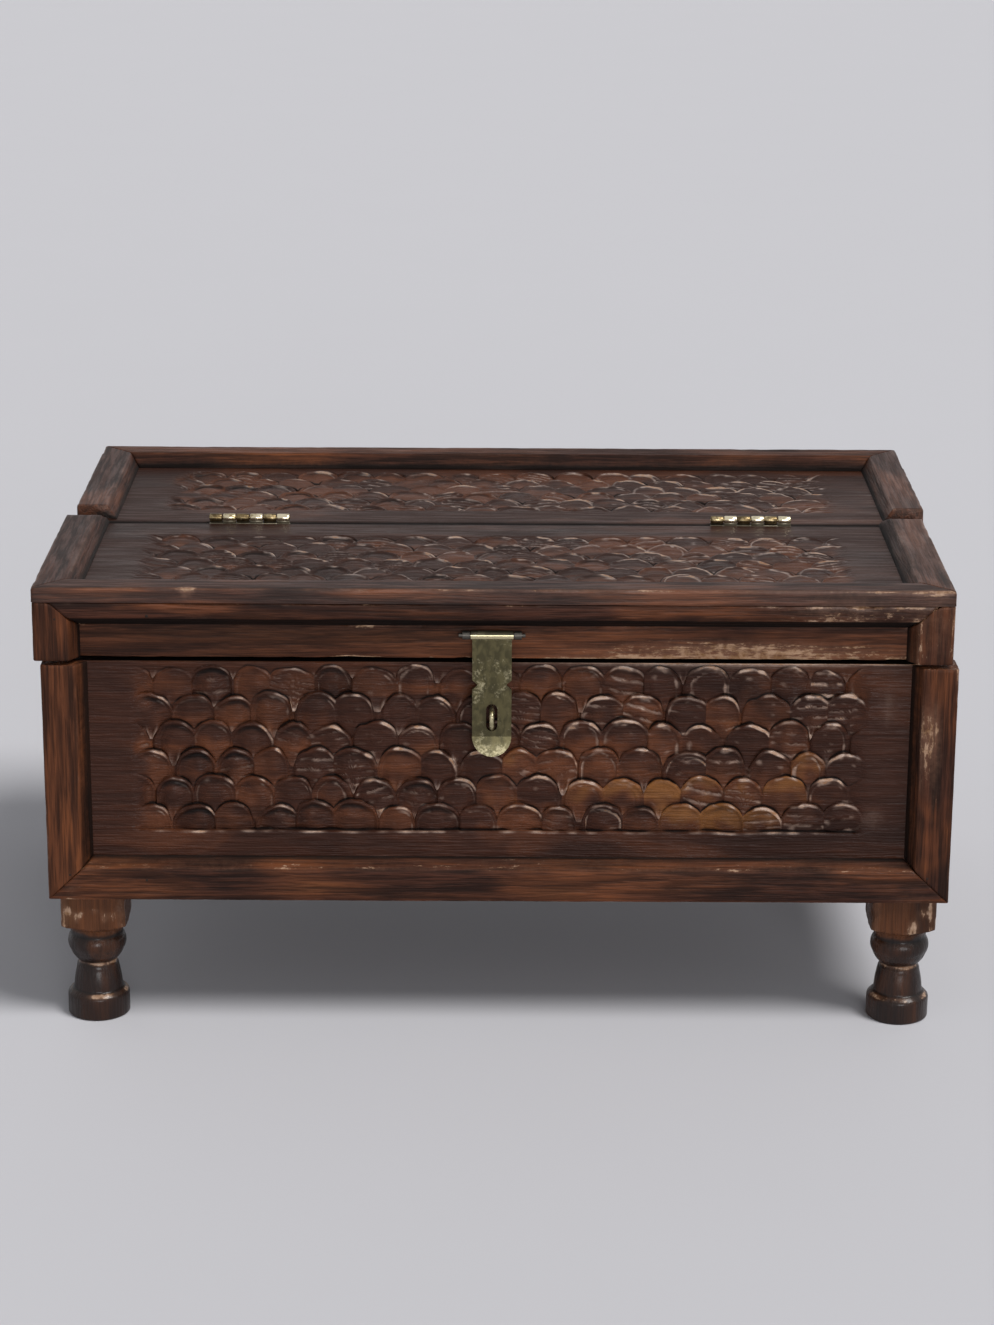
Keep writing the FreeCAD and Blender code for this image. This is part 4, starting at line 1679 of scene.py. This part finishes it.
@dataclass
class SteppedBoard:
    """A side board, which is lower under the lid than under the fixed half of the top."""

    node: str
    faces: Side
    seed: float
    arris: float = 0.8
    spacing: float = 5.0

    def outline(self) -> list[tuple[Vector, Vector]]:
        """Work out the outline of the board as seen from the side.

        Returns:
            Places round the board, each with its way inward.
        """
        low, high = box_mm(self.node)
        step_y = box_mm("rear_top_board")[0].y
        step_z = box_mm("front_board")[1].z
        corners = [(low.y, low.z), (high.y, low.z), (high.y, high.z), (step_y, high.z),
                   (step_y, step_z), (low.y, step_z)]
        points = []
        for i, corner in enumerate(corners):
            here, after = Vector(corner), Vector(corners[(i + 1) % 6])
            before = Vector(corners[i - 1])
            ways = [(b - a).normalized() for a, b in ((before, here), (here, after))]
            inward = [Vector((-way.y, way.x)) for way in ways]
            points.append((here, inward[0] + inward[1]))
            count = int((after - here).length / self.spacing)
            points += [(here.lerp(after, k / count), inward[1]) for k in range(1, count)]
        return points

    def build(self) -> Draft:
        """Make the board.

        Returns:
            Its mesh.
        """
        low, high = box_mm(self.node)
        draft = Draft(self.seed)
        inner, outer = (high.x, low.x) if self.faces is Side.LEFT else (low.x, high.x)
        way = 1 if outer > inner else -1
        soft = self.arris
        rings = []
        for x, inset in ((inner, soft), (inner + way * soft, 0.0), (outer - way * soft, 0.0),
                         (outer - way * 0.25 * soft, 0.25 * soft), (outer, soft)):
            ring = []
            for place, inward in self.outline():
                y, z = place + inward * inset
                rub = 0.06 * ripple((x, y, z), 14, self.seed)
                edge = 0.45 if 0 < inset < soft else 0.0
                ring.append(draft.add((x - way * abs(rub) * (inset > 0), y, z), edge, 0.0, 0.15))
            rings.append(ring)
        draft.tube(rings)
        return draft


@dataclass
class PlainBoards:
    """The plain boards of the carcass."""

    planks: list[WornStrip] = field(default_factory=lambda: [
        WornStrip("lid_front_board", Body.LID, Side.FRONT, Side.DOWN, chamfer=0, arris=0.9, tone=0.7,
                  chips=1.0, seed=61),
        WornStrip("back_board", Body.BOX, Side.BACK, Side.DOWN, chamfer=0, arris=0.7, seed=62, station=5),
        WornStrip("bottom_board", Body.BOX, Side.DOWN, Side.FRONT, chamfer=0, arris=0.9, seed=63,
                  station=5),
        WornStrip("lid_left_board", Body.LID, Side.LEFT, Side.DOWN, chamfer=0, arris=0.9, seed=64),
        WornStrip("lid_right_board", Body.LID, Side.RIGHT, Side.DOWN, chamfer=0, arris=0.9, seed=65),
    ])
    stepped: tuple[Side, ...] = (Side.LEFT, Side.RIGHT)

    def make(self) -> None:
        """Build and dress the boards, each bare on the face inside the box."""
        for plank in self.planks:
            finish = self.finish(plank.node, plank.faces.opposite, Grain(plank.run))
            plank.build().piece(f"planed_{plank.node}", plank.body, "board_wood", [plank.node], finish)
        for order, outer in enumerate(self.stepped):
            node = f"{outer.name.lower()}_side_board"
            board = SteppedBoard(node, outer, seed=66 + order)
            finish = self.finish(node, outer.opposite, Grain.Y)
            board.build().piece(f"planed_{node}", Body.BOX, "board_wood", [node], finish)

    def finish(self, node: str, inner: Side, grain: Grain) -> bpy.types.Material:
        """Make the finish of a board that is bare on its inner face.

        Args:
            node: Name of the board's solid.
            inner: Side that the inner face is on.
            grain: Axis of the grain.

        Returns:
            The finished material.
        """
        low, high = box_mm(node)
        level = (high if inner.sign > 0 else low)[inner.axis] * inner.sign - RAW_DEPTH
        made = BOARD_WOOD.material(grain, RawFace(inner, level))
        made.name = f"board_wood_{node}"
        return made


ARRIS_STEPS = 2
CRISP_ANGLE = 35


def dress(node: str, material: bpy.types.Material, arris: float) -> None:
    """Give a solid its finish and soften its arrises.

    Args:
        node: Name of the solid.
        material: Its finish.
        arris: Width of the softened edge in millimetres.
    """
    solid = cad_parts[node]
    solid.data.materials.clear()
    solid.data.materials.append(material)
    soft = solid.modifiers.new("soft_arris", "BEVEL")
    soft.width = arris * MM
    soft.segments = ARRIS_STEPS
    soft.limit_method = "ANGLE"
    soft.angle_limit = math.radians(CRISP_ANGLE)
    log.info("%s keeps its solid with %s", node, material.name)


@dataclass
class HingeLeaf:
    """A leaf of a butt hinge with its share of the knuckles."""

    node: str
    turns: bool
    knuckles: int = 6
    gap: float = 0.2
    slack: float = 0.25
    arris: float = 0.45
    plate_arris: float = 0.15
    plate: Flat = (0.15, 1.35)
    plate_gap: float = 0.3
    tongue_foot: float = 0.6
    tongue_head: float = 0.9

    def build(self) -> Draft:
        """Make the leaf.

        Returns:
            Its mesh.
        """
        low, high = box_mm(self.node)
        outside = (high.y - low.y) / 2
        centre_y, centre_z = (low.y + high.y) / 2, high.z - outside
        radius = outside - self.slack
        draft = Draft()
        near, far = self.plate
        face = (centre_y - far, centre_y - near) if self.turns else (centre_y + near, centre_y + far)
        under = centre_z - outside
        draft.slab((low.x, face[0], low.z), (high.x, face[1], under - self.plate_gap), self.plate_arris)
        pitch = (high.x - low.x) / self.knuckles
        for index in range(1 if self.turns else 0, self.knuckles, 2):
            start = low.x + index * pitch + self.gap
            draft.barrel((start, centre_y, centre_z), pitch - 2 * self.gap, radius, self.arris)
            end = start + pitch - 2 * self.gap
            draft.slab((start, face[0], under - self.tongue_foot),
                       (end, face[1], centre_z - self.tongue_head), self.plate_arris)
        return draft


@dataclass
class Brassware:
    """The hinges, the hasp with its pin and eyes, and the staple."""

    screw_nodes: tuple[str, ...] = ("body_hinge_screws", "lid_hinge_screws")
    wire_nodes: tuple[str, ...] = ("hasp_pin", "hasp_eyes")
    pin_arris: float = 0.12
    screw_arris: float = 0.1
    strap_arris: float = 0.22
    wire_arris: float = 0.2

    def make(self) -> None:
        """Build the hinge leaves and dress every piece of metal."""
        bright, dull = HINGE_BRASS.material(), DULL_HINGE_BRASS.material()
        for side in ("left", "right"):
            for body, finish in ((Body.BOX, dull), (Body.LID, bright)):
                node = f"{side}_hinge_{body.value}_leaf"
                leaf = HingeLeaf(node, turns=body is Body.LID)
                leaf.build().piece(f"rolled_{node}", body, "hinge_brass", [node], finish)
            dress(f"{side}_hinge_pin", dull, self.pin_arris)
        for node in self.screw_nodes:
            dress(node, dull, self.screw_arris)
        dress("hasp_strap", HASP_BRASS.material(), self.strap_arris)
        dress("lock_staple", STAPLE_BRASS.material(), self.strap_arris)
        wire = WIRE_STEEL.material()
        for node in self.wire_nodes:
            dress(node, wire, self.wire_arris)


@dataclass
class Feet:
    """The four turned feet."""

    nodes: tuple[str, ...] = ("front_left_foot", "front_right_foot", "rear_left_foot", "rear_right_foot")

    def make(self) -> None:
        """Build and dress the feet."""
        finish = FOOT_WOOD.material(Grain.Z)
        for order, node in enumerate(self.nodes):
            foot = TurnedFoot(node, seed=70 + order)
            foot.build().piece(f"turned_{node}", Body.BOX, "foot_wood", [node], finish, sharp=40)


@dataclass
class Lamp:
    """A soft, distant studio lamp: the way to it, its width in degrees, its power and colour."""

    name: str
    toward: Point
    width: float
    power: float
    colour: Colour = (1.0, 1.0, 1.0)


@dataclass
class Studio:
    """The floor, the lamps, the light round them and the camera."""

    floor: Colour = (0.62, 0.62, 0.66)
    floor_reach: float = 14.0
    sky: float = 0.22
    wall: float = 0.55
    front: float = 0.3
    backdrop: float = 0.57
    lamps: tuple[Lamp, ...] = (
        Lamp("key", (0.45, -0.32, 0.83), 24.0, 2.3, (1.0, 0.985, 0.96)),
        Lamp("front", (0.15, -0.97, 0.19), 24.0, 0.92, (0.98, 0.985, 1.0)),
    )
    eye: Point = (-0.0003, -1.4970, 0.5990)
    yaw: float = -0.02
    pitch: float = 17.33
    roll: float = -0.28
    lens: float = 89.70
    sensor: float = 36.0
    lamp_distance: float = 3.0

    def make(self) -> None:
        """Lay the floor, hang the lamps and set the camera."""
        self.lay_floor()
        for lamp in self.lamps:
            self.hang(lamp)
        self.light_room()
        bpy.context.scene.view_settings.view_transform = "Standard"
        self.set_camera()

    def light_room(self) -> None:
        """Surround the box with dim light, paler low in front and low behind, and an even backdrop."""
        world = bpy.context.scene.world or bpy.data.worlds.new("studio")
        bpy.context.scene.world = world
        world.use_nodes = True
        graph = Graph(world.node_tree, "Background")
        way = graph.place()
        across, above = graph.part(way, 1), graph.part(way, 2)
        low = 1 - above.ramp(0.2, 0.75)
        behind = across.ramp(0.1, 0.8) * self.wall
        ahead = (across * -1).ramp(0.1, 0.8) * self.front
        level = self.sky + low * (behind + ahead)
        seen, mirrored, through = (
            graph.node("ShaderNodeLightPath", {}, {}, f"Is {kind} Ray")
            for kind in ("Camera", "Glossy", "Transmission")
        )
        shown = seen.most(mirrored).most(through)
        level = level * (1 - shown) + shown * self.backdrop
        graph.surface(Color=(0.98, 0.985, 1.0, 1.0), Strength=level)

    def lay_floor(self) -> None:
        """Lay a wide pale floor."""
        mesh = bpy.data.meshes.new("floor")
        reach = self.floor_reach
        corners = [(-reach, -reach, 0), (reach, -reach, 0), (reach, reach, 0), (-reach, reach, 0)]
        mesh.from_pydata(corners, [], [(0, 1, 2, 3)])
        graph = Coating("pale_floor")
        soft = graph.cloud(graph.place(), 9, 3)
        shade = graph.mix(soft * 0.12, self.floor, tuple(c * 0.9 for c in self.floor))
        graph.surface(Base_Color=shade, Roughness=0.85)
        mesh.materials.append(graph.material)
        floor = bpy.data.objects.new("floor", mesh)
        bpy.context.scene.collection.objects.link(floor)

    def hang(self, lamp: Lamp) -> None:
        """Hang a lamp and turn it to the box.

        Args:
            lamp: Lamp to hang.
        """
        light = bpy.data.lights.new(lamp.name, "SUN")
        light.angle = math.radians(lamp.width)
        light.energy = lamp.power
        light.color = lamp.colour
        made = bpy.data.objects.new(lamp.name, light)
        bpy.context.scene.collection.objects.link(made)
        made.location = Vector(lamp.toward) * self.lamp_distance
        made.rotation_mode = "QUATERNION"
        made.rotation_quaternion = (-Vector(lamp.toward)).to_track_quat("-Z", "Y")

    def set_camera(self) -> None:
        """Set the camera at the height and angle from which the box is seen."""
        data = bpy.data.cameras.new("camera")
        data.lens = self.lens
        data.sensor_width = self.sensor
        data.clip_start, data.clip_end = 0.05, 60.0
        camera = bpy.data.objects.new("camera", data)
        bpy.context.scene.collection.objects.link(camera)
        turn = (
            Matrix.Rotation(math.radians(self.yaw), 3, "Z")
            @ Matrix.Rotation(math.radians(-self.pitch), 3, "X")
            @ Matrix.Rotation(math.radians(self.roll), 3, "Y")
        )
        right, ahead, up = turn.col
        facing = Matrix((right, up, -ahead)).transposed().to_4x4()
        camera.matrix_world = Matrix.Translation(self.eye) @ facing
        bpy.context.scene.camera = camera


def main() -> None:
    """Build and dress the box."""
    logging.basicConfig(level=logging.INFO, format="%(name)s %(message)s")
    for work in (Studio(), Carving(), StripWork(), PlainBoards(), Feet(), Brassware()):
        log.info("%s", type(work).__name__)
        work.make()


if __name__ == "__main__":
    main()
